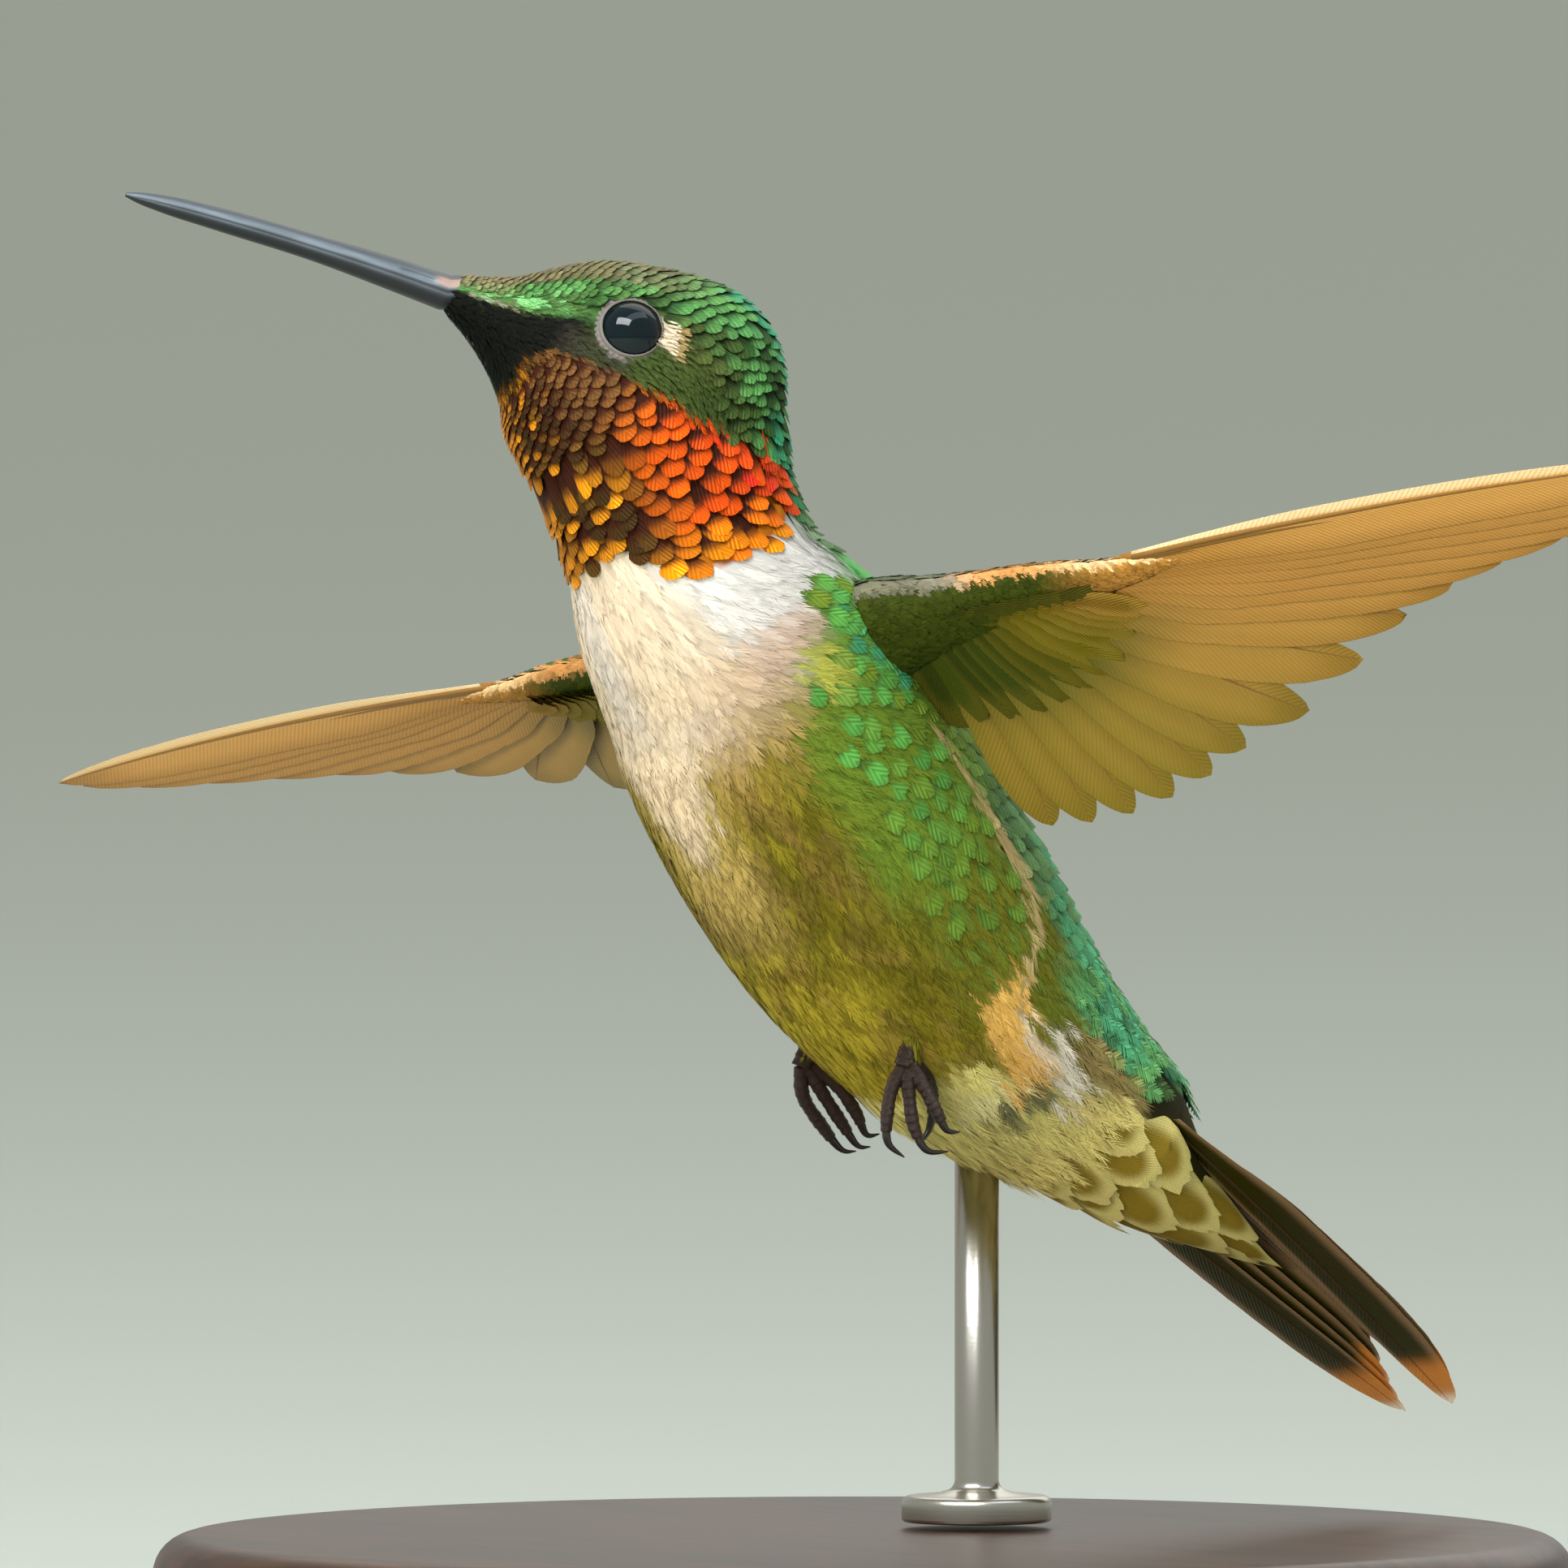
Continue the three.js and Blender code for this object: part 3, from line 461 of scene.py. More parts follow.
    # Head: bronze crown with emerald sides, dark face.
    wash("dark_green", fall(along + 2.8 * ramp(side, 98, 118), 15.5, 17.5), 0.35)
    wash("moss", fall(along, 15, 17) * band(side, 48, 96, 8) * (0.35 + 0.65 * middle), 0.2)
    wash("emerald", band(along, 8, 15.5, 1.5) * fall(side, 44, 58) * ramp(fine, 0.3, 0.6) * 0.8, 0.6)
    wash("teal", band(along, 6, 15.5, 1.5) * fall(side, 30, 46) * ramp(middle, 0.4, 0.65) * 0.8, 0.7)
    wash("emerald", band(along, 7.0, 10.5, 1.5) * band(side, 24, 46, 5) * ramp(middle, 0.4, 0.6), 0.55)
    wash("bronze", fall(along, 6, 9) * fall(side, 32, 46) * (0.6 + 0.4 * fine), 0.25)
    wash("emerald", fall(along, 5, 7) * band(side, 46, 74, 6) * (0.4 + 0.5 * ramp(fine, 0.3, 0.6)), 0.4)
    wash("bronze", fall(along, 1.6, 3.0) * fall(side, 56, 66) * 0.7, 0.25)
    wash("bright_emerald", band(along, 1.8, 4.4, 0.8) * band(side + 3 * (along - 3), 62, 74, 4)
         * ramp(fine, 0.35, 0.55) * 0.85, 0.45)
    # A painted shadow under the brow, in front of the eye and above it.
    wash("dark_green", band(along, 5.3, 6.4, 0.5) * band(side, 55, 64, 4) * 0.7, 0.2)
    wash("buff", spot_share(along - 0.45, side) * 0.8)
    wash("spot_cream", spot_share(along, side))
    wash("black", fall(along, 5.2, 6.6) * ramp(side + 4 * np.maximum(along - 3, 0), 78, 86))
    wash("loral_grey", band(along, 5.4, 7.6, 0.8) * band(side, 82, 96, 6) * 0.7)
    wash("gape", fall(along, 2.4, 3.2) * band(side, 75, 79, 2) * 0.6)
    # Throat.
    throat = throat_share(along, side)
    wash("dull_gold", throat, 0.5)
    wash("dull_rose", throat * fall(along, 7.5, 10.5) * band(side, 92, 132, 8) * 0.8, 0.3)
    wash("throat_dark", throat * ramp(side, 108, 124) * ramp(fine, 0.18, 0.45) * 0.85, 0.4)
    wash("gold", throat * ramp(side, 108, 124) * ramp(glint, 0.6, 0.72), 0.8)
    wash("gold", throat * ramp(side, 158, 168) * 0.7, 0.8)
    wash("orange", throat * fall(side, 90, 118) * ramp(along, 7.8, 11) * (0.55 + 0.45 * fine), 0.85)
    wash("orange_red", throat * fall(side, 78, 98) * ramp(along, 9, 11) * (0.5 + 0.5 * middle), 0.85)
    wash("crimson", throat * fall(side, 60, 74) * band(along, 11, 14.2, 1)
         * ramp(middle, 0.3, 0.6), 0.85)
    wash("rim_gold", throat * ramp(along, 14.6, 16) * band(side, 48, 118, 8)
         * (0.35 + 0.65 * ramp(fine, 0.2, 0.5)), 0.9)
    return colour, gloss


def store(piece, name, values):
    """Stores one number for each vertex of a piece, for its material to read."""
    layer = piece.data.attributes.new(name, "FLOAT", "POINT")
    layer.data.foreach_set("value", np.ravel(values).astype(np.float32))


def paint(piece, colour, gloss=0.0):
    """Stores the colour and gloss of each vertex for the feather materials."""
    full = np.ones((len(piece.data.vertices), 4), np.float32)
    full[:, :3] = colour.reshape(-1, 3)
    layer = piece.data.color_attributes.new("tint", "FLOAT_COLOR", "POINT")
    layer.data.foreach_set("color", full.ravel())
    store(piece, "gloss", np.broadcast_to(gloss, colour.shape[:-1]))


def unwrap(piece, across, down):
    """Gives the piece the UV map that it is baked on, from each vertex's place on the unwrap."""
    layer = piece.data.uv_layers.new(name="OFBake")
    corners = np.empty(len(piece.data.loops), np.int32)
    piece.data.loops.foreach_get("vertex_index", corners)
    places = np.stack([np.ravel(across), np.ravel(down)], axis=1)[corners]
    layer.data.foreach_set("uv", places.astype(np.float32).ravel())


def on_unwrap(along, turn):
    """Place on the unwrap of a point of the body: its angle from the back goes across, with a
    narrow margin, and its distance along the spine goes down."""
    folded = (turn + np.pi) % (2 * np.pi) - np.pi
    return 0.5 + folded / (2 * np.pi) * 0.96, 0.02 + along / coat_length * 0.96


# Keratin over melanin: matt where soft, and a metallic sheen where the barbules are flat plates.
# The barbs' ribs come from a phase that each feather carries in its barb attribute, as a bump and as
# painted light and shade that alternate across them.
feather = new_material("feather_keratin")
tint = add_node(feather, "ShaderNodeAttribute", attribute_name="tint")
gloss = add_node(feather, "ShaderNodeAttribute", attribute_name="gloss")
metal = add_node(feather, "ShaderNodeMapRange", {"Value": (gloss, "Fac"), "To Max": 0.45})
rough = add_node(feather, "ShaderNodeMapRange", {
    "Value": (gloss, "Fac"), "To Min": 0.8, "To Max": 0.4})
barb = add_node(feather, "ShaderNodeAttribute", attribute_name="barb")
barb_wave = add_node(feather, "ShaderNodeMath", {0: (barb, "Fac")}, operation="SINE")
barb_painted_shade = add_node(feather, "ShaderNodeMath", {0: (barb_wave, "Value"), 1: 0.16, 2: 1.0},
                      operation="MULTIPLY_ADD")
barb_colour = add_node(feather, "ShaderNodeVectorMath", {
    0: (tint, "Color"), "Scale": (barb_painted_shade, "Value")}, operation="SCALE")
barb_bump = add_node(feather, "ShaderNodeBump", {
    "Strength": 0.6, "Distance": 0.00003, "Height": (barb_wave, "Value")})
finish_material(feather, {
    "Base Color": (barb_colour, "Vector"), "Metallic": (metal, "Result"),
    "Roughness": (rough, "Result"), "Specular IOR Level": 0.15, "Normal": (barb_bump, "Normal")})

coat_depth = 0.36
face_depth = 0.22                         # the coat thins over the face


def skin_depth(along):
    """Depth of the coat at a distance along the spine."""
    return face_depth + (coat_depth - face_depth) * ramp(along, 3, 11)


def loose_share(along, side):
    """1 where the feathers are loose and the skin lies close under them, and 0 elsewhere."""
    lower = ramp(side, np.where(along < 20.6, 42, 74), np.where(along < 20.6, 48, 80))
    return lower * band(along, 13.4, 43, 1.5) * fall(throat_share(along + 0.6, side), 0, 0.3)


skin_rows, skin_columns = 260, 160
skin_along = np.linspace(0, body_length, skin_rows)[:, None]
skin_turn = np.linspace(-np.pi, np.pi, skin_columns, endpoint=False)[None, :]
skin_bed = 1 - 0.68 * loose_share(*np.broadcast_arrays(skin_along, np.degrees(np.abs(skin_turn))))
skin_points = body_point(skin_along, skin_turn, -skin_depth(skin_along) * skin_bed)
poles = np.stack([skin_points[0].mean(0), skin_points[-1].mean(0)])
skin = new_mesh("skin", np.concatenate([skin_points.reshape(-1, 3), poles]),
                poled_faces(skin_rows, skin_columns), feather)
# The skin has the feathers' colours darkened as painted shade for the gaps between them, darkest under the
# glossy ones.
skin_colour, skin_gloss = plumage(*np.broadcast_arrays(skin_along, skin_turn))
skin_colour = skin_colour * (0.78 - 0.5 * skin_gloss)[..., None]
skin_colour = np.concatenate([skin_colour.reshape(-1, 3), skin_colour[0, :1], skin_colour[-1, :1]])
paint(skin, skin_colour)
whole_along = np.append(np.broadcast_to(skin_along, (skin_rows, skin_columns)), [0, body_length])
whole_turn = np.append(np.broadcast_to(skin_turn, (skin_rows, skin_columns)), [0, 0])
unwrap(skin, *on_unwrap(whole_along, whole_turn))
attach(skin, "root")
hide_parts("head", "neck", "torso", "rump")

# ---- Body feathers ---------------------------------------------------------------------------
# Contour feathers overlap like tiles from the bill to the tail. On the throat, crown and back they
# lie close as rounded scales, laid as curved plates ribbed by their barbs. On the breast, belly and
# vent they are loose and hair-like, laid as thin strips, one for each clump of barbs.


def spread(cover, spacing, seed):
    """Places roots over the body so that they lie evenly at the given spacing where cover is 1. A
    spiral lattice of points in a unit square is carried onto the surface through the running sum
    of its area, first along the spine and then round it."""
    rows, columns = 460, 361
    scatter = 0.06                            # of the spacing, so that no row shows
    along = np.linspace(0, coat_length, rows)[:, None]
    turn = np.linspace(-np.pi, np.pi, columns)[None, :]
    points = body_point(along, turn)
    area = np.linalg.norm(np.cross(np.gradient(points, axis=0), np.gradient(points, axis=1)), axis=-1)
    side = np.degrees(np.abs(turn)) + 0 * along
    along = along + 0 * turn
    weight = area * cover(along, side) / spacing(along, side) ** 2 + 1e-12
    count = int(weight.sum())
    rng = np.random.default_rng(seed)
    golden = (math.sqrt(5) - 1) / 2
    first = (np.arange(count) + 0.5) / count
    second = (np.arange(count) * golden) % 1
    row_share = np.concatenate([[0], np.cumsum(weight.sum(1))])
    at = np.interp(first, row_share / row_share[-1], np.arange(rows + 1)) - 0.5
    at = np.clip(at, 0, rows - 1)
    row = np.round(at).astype(int)
    round_share = np.cumsum(weight, axis=1)
    round_share = round_share / round_share[:, -1:]
    chain = (np.arange(rows)[:, None] + np.concatenate(
        [np.zeros((rows, 1)), round_share], axis=1) * 0.999999).ravel()
    column = np.interp(row + second, chain, np.tile(np.arange(columns + 1) - 0.5, rows))
    s = at / (rows - 1) * coat_length
    r = np.clip(column, 0, columns - 1) / (columns - 1) * 2 * np.pi - np.pi
    kept = cover(s, np.degrees(np.abs(r))) > 0
    s, r = s[kept], r[kept]
    gap = spacing(s, np.degrees(np.abs(r)))
    jitter = rng.normal(0, scatter, (2, len(s))) * gap
    return np.clip(s + jitter[0], 0.02, coat_length - 0.02), r + jitter[1] / 6, gap, rng


def each(values):
    """One value for each feather, shaped to go with the last three axes of its points."""
    return values[:, None, None, None]


def lay_on(point_of, p, q, turn, a, b, high, limit):
    """Carries feathers from their own planes, a along the shaft and b across, onto a surface. They
    start at p, q and are turned by the angle turn towards q. Past p = limit they run on straight.
    Returned are their points and the surface's outward normals there."""
    step = 0.02
    near = p if limit is None else np.minimum(p, limit - 2 * step)
    here = point_of(near, q, 0 * p)
    down = np.maximum(np.linalg.norm(point_of(near + step, q, 0 * p) - here, axis=1) / step, 0.35)
    over = np.maximum(np.linalg.norm(point_of(near, q + step, 0 * p) - here, axis=1) / step, 0.6)
    at = each(p) + (a * each(np.cos(turn)) - b * each(np.sin(turn))) / each(down)
    beside = each(q) + (b * each(np.cos(turn)) + a * each(np.sin(turn))) / each(over)
    past = np.zeros_like(at) if limit is None else np.maximum(at - limit, 0) * each(down)
    at = at if limit is None else np.minimum(at, limit)
    points = point_of(at, beside, high)
    way = point_of(at, beside, high) - point_of(at - step, beside, high)
    side = point_of(at, beside + step, high) - points
    out = np.cross(side, way)
    rise = point_of(at, beside, high + 0.1) - points
    out = out * np.sign((out * rise).sum(-1, keepdims=True))
    return points + unit(way) * past[..., None], unit(out)


def feather_mesh(name, points, out, rows, columns, soft):
    """Grids of points, each rows by columns, as one mesh whose faces look outwards. Soft is the
    share of the body's own normal in the shading, which makes a loose coat look soft."""
    grids = points.reshape(-1, rows * columns, 3)
    out = out.reshape(-1, rows * columns, 3)
    faces = (np.arange(len(grids))[:, None, None] * rows * columns
             + grid_faces(rows, columns)[None])
    middle = (rows // 2) * columns
    normal = unit(np.cross(grids[:, middle + columns - 1] - grids[:, middle],
                           grids[:, middle] - grids[:, 0]))
    inward = (normal * out[:, middle]).sum(1) < 0
    faces[inward] = faces[inward][:, :, ::-1]
    normal[inward] = -normal[inward]
    piece = new_mesh(name, points, [faces.reshape(-1, 4)], feather)
    blend = unit(out * soft + normal[:, None, :] * (1 - soft))
    piece.data.normals_split_custom_set_from_vertices(blend.reshape(-1, 3))
    return piece


def finish_feathers(piece, patch_at, across, share, phase):
    """Gives feathers their barb ribs and their patch of the unwrap, and sets them on the body."""
    store(piece, "barb", phase)
    patch = 0.0015                            # half a patch's width, as a share of the unwrap
    unwrap(piece, each(patch_at[0]) + patch * np.clip(across, -1, 1),
           each(patch_at[1]) + patch * (2 * np.clip(share, 0, 1) - 1))
    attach(piece, "root")


deepest = 1.3                             # how far a feather may sink, in depths of the coat


def lay_feathers(name, point_of, p, q, size, rng, colour, shine, patch_at, slot, length=2.4, half=0.62,
                 pairs=7, sweep=0.3, loose=0.3, fill=1.25, lift=(-1.0, 0.05), cup=0.25, turn=0.0,
                 dark=0.5, dark_to=0.45, streak=0.25, depth=0.4, limit=None, soft=0.5):
    """Loose feathers with their roots at p, q of a surface. A barb leaves the shaft at a share q of
    the length, runs forward by the share sweep, less near the tip, and bends out to the edge of
    a vane whose width is half * (1 - q^2.4)^0.6. Length and half are in sizes, lift gives the
    height of root and tip in depths, dark is the painted shade on the hidden bases up to dark_to,
    and streak the spread in shade among barbs."""
    count, steps = len(p), 3
    long, wide = size * length, size * half
    q_barb = np.tile((np.arange(pairs) + 0.5) / pairs, 2)[None, :]
    sign = np.repeat([1.0, -1.0], pairs)[None, :]
    q_barb = np.clip(q_barb + rng.uniform(-0.3, 0.3, (count, 2 * pairs)) / pairs, 0.01, 0.995)
    root_share = (1 - sweep * 0.35) * q_barb - 0.02
    start = long[:, None] * root_share
    end_share = root_share + sweep * (1 - 0.65 * q_barb) + loose * rng.uniform(-0.1, 0.1, q_barb.shape)
    end_b = wide[:, None] * sign * (1 - q_barb ** 2.4) ** 0.6 * (0.6 + 0.4 * ramp(q_barb, 0, 0.3))
    end_b = end_b * (1 + loose * rng.uniform(-0.6, 0.25, q_barb.shape))
    t = np.linspace(0, 1, steps)[None, None, :]
    a = start[..., None] + (long[:, None] * end_share - start)[..., None] * (t + 0.3 * t * (1 - t))
    b = end_b[..., None] * (t + 0.4 * t * (1 - t))
    run_a, run_b = np.gradient(a, axis=-1), np.gradient(b, axis=-1)
    run = np.sqrt(run_a ** 2 + run_b ** 2) + 1e-9
    taper = 1 - 0.9 * t ** (1.3 + 2.5 * (1 - loose))
    broad = (wide / pairs * 1.1 * fill)[:, None, None] * taper
    a = np.stack([a + run_b / run * broad, a - run_b / run * broad], axis=-1)
    b = np.stack([b - run_a / run * broad, b + run_a / run * broad], axis=-1)
    luck = rng.random((count, 2 * pairs))
    share = np.clip(a / each(long), 0, 1.2)
    across = b / each(wide)
    thick = each(depth + 0 * p)
    high = thick * (lift[0] + (lift[1] - lift[0]) * share ** 0.8) - cup * each(wide) * across ** 2
    ripple = np.stack([-broad, broad], axis=-1) * 0.2 * np.sign(luck[:, :, None, None] - 0.5)
    high = high + ripple + 0.06 * thick * (luck[:, :, None, None] - 0.5)
    high = np.maximum(high, -thick * deepest)
    turn = turn + rng.normal(0, 0.05 + 0.1 * loose, count)
    points, out = lay_on(point_of, p, q, turn, a, b, high, limit)
    shade = (1 + streak * (luck - 0.5) * 2)[:, :, None, None, None]
    own = (colour * rng.uniform(0.86, 1.12, count)[:, None])[:, None, None, None, :]
    # Painted shade on each barb's hidden base, under the feathers that lie over it.
    bare = ramp(share, dark_to - 0.2, dark_to + 0.1)
    full = np.broadcast_to(own, points.shape) * shade * (dark + (1 - dark) * bare)[..., None]
    piece = feather_mesh(name, points, out, steps, 2, soft)
    paint(piece, full, each(shine) * bare)
    finish_feathers(piece, patch_at, across, share, np.zeros(share.shape))


def lay_scales(name, point_of, p, q, size, rng, colour, shine, patch_at, slot, length=2.2, half=0.7,
               rows=6, columns=7, rounding=0.3, ragged=0.03, lift=(-1.0, 0.2), cup=0.25, turn=0.0,
               dark=0.3, dark_to=0.5, rim=0.4, gap_colour=None, rib=0.17, depth=0.4, limit=None,
               soft=0.2, edge=None, edge_from=0.5, vary=0.15, tip_rim=0.0):
    """Close feathers whose tips are rounded plates. Rows and columns are the points of a plate.
    Rounding draws its corners back, and ragged its barbs' ends. Rim darkens its margin towards
    the gap colour, tip_rim its tip, edge is the colour of a pale fringe, and rib the spacing of
    its barbs in millimetres, which run 25 degrees off the shaft. The hidden base and a dark gap
    colour give painted shade; a gap colour of the ground only blends the plates into it. The rest
    is as above."""
    count = len(p)
    long, wide = size * length, size * half
    t = (np.linspace(0, 1, rows) ** 0.8)[None, None, :, None]
    x = np.sin(np.linspace(-np.pi / 2, np.pi / 2, columns))[None, None, None, :]
    ends = ragged * rng.uniform(-1, 1, (count, 1, 1, columns)) * t ** 3
    a = each(long) * t * (1 - rounding * (1 - np.sqrt(1.001 - x ** 2)) + ends)
    b = each(wide) * x * (0.62 + 0.38 * ramp(t, 0, 0.5)) * (1 - 0.1 * t ** 4)
    share = np.clip(a / each(long), 0, 1)
    across = x + 0 * a
    thick = each(depth + 0 * p)
    high = thick * (lift[0] + (lift[1] - lift[0]) * share ** 0.8) - cup * each(wide) * across ** 2
    high = np.maximum(high, -thick * deepest)
    turn = turn + rng.normal(0, 0.06, count)
    points, out = lay_on(point_of, p, q, turn, a, b, high, limit)
    own = (colour * rng.uniform(1 - vary, 1 + vary, count)[:, None])[:, None, None, None, :]
    full = np.broadcast_to(own, points.shape)
    if edge is not None:
        fringe = ramp(np.hypot(across, np.maximum(share - 0.55, 0) * 2.2), edge_from, edge_from + 0.4)
        full = mix(full, edge, fringe)
    # Painted shade on the hidden base and margins, towards the gap colour: a painted shadow where that
    # colour is dark.
    hidden = np.maximum(fall(share, dark_to - 0.2, dark_to + 0.1), rim * ramp(np.abs(across), 0.55, 1.0))
    hidden = np.maximum(hidden, tip_rim * ramp(share, 0.75, 1.0))
    full = mix(full, full * dark if gap_colour is None else gap_colour, hidden)
    piece = feather_mesh(name, points, out, rows, columns, soft)
    paint(piece, full, each(shine) * (1 - 0.6 * hidden))
    lean = math.radians(25)
    phase = (np.abs(b) * math.cos(lean) - a * math.sin(lean)) * (2 * np.pi / rib)
    finish_feathers(piece, patch_at, across, share, phase)


def lay_tract(name, cover, spacing, seed, slot, lay=lay_feathers, lean=None, tips=plumage, **looks):
    """Covers part of the body with feathers, each in the colour of the plumage where its tip lies.
    Lean gives the angle that feathers turn off the spine's direction, towards the belly."""
    s, r, gap, rng = spread(cover, spacing, seed)
    size = gap * rng.uniform(0.9, 1.12, len(s))
    turn = 0.0 if lean is None else np.radians(lean(s, side_of(r))) * np.sign(r)
    tip = np.clip(s + 0.5 * size * looks.get("length", 2.4), 0, coat_length)
    lay(name, body_point, s, r, size, rng, *tips(tip, r), on_unwrap(s, r), slot,
        turn=turn, depth=skin_depth(s), limit=coat_length, **looks)


def even(value):
    """The same spacing everywhere."""
    return lambda along, side: value + 0 * along


eye_along, eye_side = 7.0, 66.5           # place of the eyes, in millimetres and degrees


def off_eye(along, side):
    """0 on the bare skin about each eye, which reaches further in front, and 1 off it. Roots ahead
    of the eye stay 0.35 mm further off, so that no feather lies over it."""
    past = along + 0.35 - eye_along
    reach = np.hypot(past * np.where(past < 0, 1.1, 1.4), np.radians(side - eye_side) * 5.4)
    return (reach > 1.72).astype(float)


def near_spot(along, side):
    """Above 0 on the pale spot and on the roots of the feathers that would lie over it."""
    return spot_share(along, side) + spot_share(along + 0.6, side)


def throat_tips(along, turn):
    """The plumage, with tips past the patch's lower edge in the colour of the edge."""
    return plumage(np.minimum(along, table_value(throat_foot, side_of(turn)) - 0.3), turn)


def throat_cover(along, side):
    """1 where throat scales are rooted: their tips, up to 0.9 mm on, have to lie on the patch."""
    return (throat_share(along + 0.9 * ramp(along, 6, 14), side) > 0.5) * off_eye(along, side)


# The dark red-brown gap colour is a painted shadow between the throat's scales, and the dark bases up to
# dark_to are painted shade.
lay_tract("throat_scales", throat_cover,
          lambda s, side: (0.42 + 0.52 * ramp(s, 4.5, 12.5)) * (1 - 0.16 * ramp(side, 112, 130)), 11,
          "head_feathers", lay=lay_scales, tips=throat_tips, length=2.0, half=0.8, rows=8, columns=9,
          lift=(-1.0, 0.25), cup=0.2, dark_to=0.74, rim=0.7, gap_colour=linear("#341203"), rib=0.17,
          vary=0.28)

lay_tract("crown_scales",
          lambda s, side: ((throat_share(s, side) < 0.3) * (side < 60) * (s < 15.5) * off_eye(s, side)
                           * (near_spot(s, side) < 0.1)),
          lambda s, side: 0.3 + 0.34 * ramp(s, 1.5, 9), 12, "head_feathers", lay=lay_scales,
          length=2.0, half=0.72, rows=5, columns=7, lift=(-1.0, 0.1), cup=0.15, dark=0.3,
          dark_to=0.66, rim=0.5, rib=0.2, vary=0.22)

lay_tract("cheek_feathers",
          lambda s, side: ((throat_share(s, side) < 0.3) * ((side >= 57) | (near_spot(s, side) >= 0.1))
                           * (s < 16) * off_eye(s, side)),
          lambda s, side: 0.23 + 0.19 * ramp(s, 9, 13) - 0.07 * (near_spot(s, side) > 0.1), 13,
          "head_feathers", length=3.6, half=0.55, sweep=0.5, loose=0.6, fill=0.9, dark=0.6,
          streak=0.35, lift=(-0.9, -0.1))


def sweep_up(along, side):
    """Feathers of the shoulder and side of the breast sweep up towards the wing."""
    return -24 * band(along, 17, 27, 4) * band(side, 70, 125, 15)


lay_tract("collar_feathers",
          lambda s, side: (s > 12.6) * (s < 22.5) * (throat_share(s + 0.5, side) < 0.6) * (side > 38),
          even(0.47), 14, "collar_feathers", length=5.2, half=0.66, pairs=12, sweep=0.55, loose=0.6,
          lift=(-0.45, -0.1), cup=0.1, lean=sweep_up, dark=1.0, streak=0.04, soft=0.97)

loose_coat = {"length": 5.0, "half": 0.66, "pairs": 12, "sweep": 0.5, "loose": 0.7,
              "lift": (-0.5, 0.0), "cup": 0.1}
lay_tract("breast_feathers", lambda s, side: (s > 21) * (s < 32) * (side > 66),
          even(0.5), 15, "body_feathers", lean=sweep_up, dark=0.9, streak=0.16, soft=0.93, **loose_coat)
lay_tract("belly_feathers", lambda s, side: (s >= 31) * (s < 43) * (side > 70),
          even(0.5), 16, "body_feathers", dark=0.88, streak=0.18, soft=0.92, **loose_coat)


def spangles(along, turn):
    """Greens of the spangles, from leaf green to emerald, with teal on the shoulder and one bright
    patch of lime in front of it."""
    c = plumage_colours
    side = side_of(turn)
    pick = mottle(along * 3.1, side * 0.4, 6)
    colour = mix(c["flank_green"], c["flank_emerald"],
                 ramp(pick, 0.2, 0.6) * (1 - 0.85 * ramp(along, 29, 34)))
    colour = mix(colour, c["back_teal"], ramp(pick, 0.6, 0.75) * (along < 27) * (side < 92))
    lime = band(along, 22, 23.6, 0.8) * band(side, 94, 106, 4) * 0.8
    return mix(colour, c["lime"], lime), 0.35 + 0 * along


lay_tract("flank_spangles",
          lambda s, side: np.maximum(band(s, 19.5, 25, 1) * band(side, 62, 80 + 10 * ramp(s, 21, 23), 5),
                                     0.7 * band(s, 23, 32, 2) * band(side, 86, 108, 9)
                                     + 0.35 * band(s, 31, 36, 2) * band(side, 80, 112, 8)),
          even(1.0), 21, "body_feathers", lay=lay_scales, tips=spangles, length=1.7, half=0.62, rows=8,
          columns=11, rounding=0.5, ragged=0.08, lift=(-0.3, 0.12), cup=0.1, lean=sweep_up, dark_to=0.5,
          rim=0.9, tip_rim=0.5, gap_colour=linear("#4f6e28"), rib=0.2, soft=0.85, vary=0.22)


def along_line(along, side):
    """The angle at which the flank line runs towards the belly, on a body about 6.5 mm in radius."""
    near = 0.3
    slope = (table_value(flank_line, along + near) - table_value(flank_line, along - near)) / (2 * near)
    return np.degrees(np.arctan(np.radians(slope) * 6.5))


lay_tract("flank_line",
          lambda s, side: band(side - table_value(flank_line, s), -1.2, 1.2, 0.5) * band(s, 27, 40, 0.5),
          even(0.3), 22, "body_feathers", lean=along_line,
          tips=lambda s, r: (plumage_colours["wing_line"] + 0 * s[:, None], 0 * s),
          length=9.0, half=0.3, pairs=7, sweep=0.9, loose=0.3, fill=0.7, lift=(-0.4, 0.05), dark=0.9,
          streak=0.15, soft=0.95)

lay_tract("back_scales",
          lambda s, side: (s > 14.5) * (s < 43) * (side <= 74) * np.where(s < 20.6, side < 42, 1),
          even(0.95), 17, "body_feathers", lay=lay_scales, length=2.1, half=0.7, rows=7, columns=9,
          lift=(-1.0, 0.2), dark=0.3, rim=0.5, rib=0.2)

lay_tract("rump_scales",
          lambda s, side: (s >= 41.5) * (s < 49.6 + 4.6 * fall(side, 35, 60)) * (side < 94),
          even(1.0), 18, "rump_feathers", length=2.5, half=0.75, pairs=16, sweep=0.34, loose=0.2,
          fill=1.2, lift=(-1.0, 0.2), cup=0.15, dark=0.35, streak=0.3, soft=0.35)

lay_tract("vent_fluff", lambda s, side: (s >= 40.5) * (s < 48) * (side > 94),
          even(0.62), 19, "rump_feathers", length=5.6, half=0.7, pairs=15, sweep=0.5, loose=1.0,
          fill=0.7, lift=(-0.8, 0.7), dark=0.95, streak=0.12, soft=0.93)


def under_tail(along, turn):
    """Undertail coverts are olive-brown, shading to grey near the vent."""
    c = plumage_colours
    return mix(c["fluff_grey"], c["under_olive"], ramp(along, 45, 50)), 0 * along


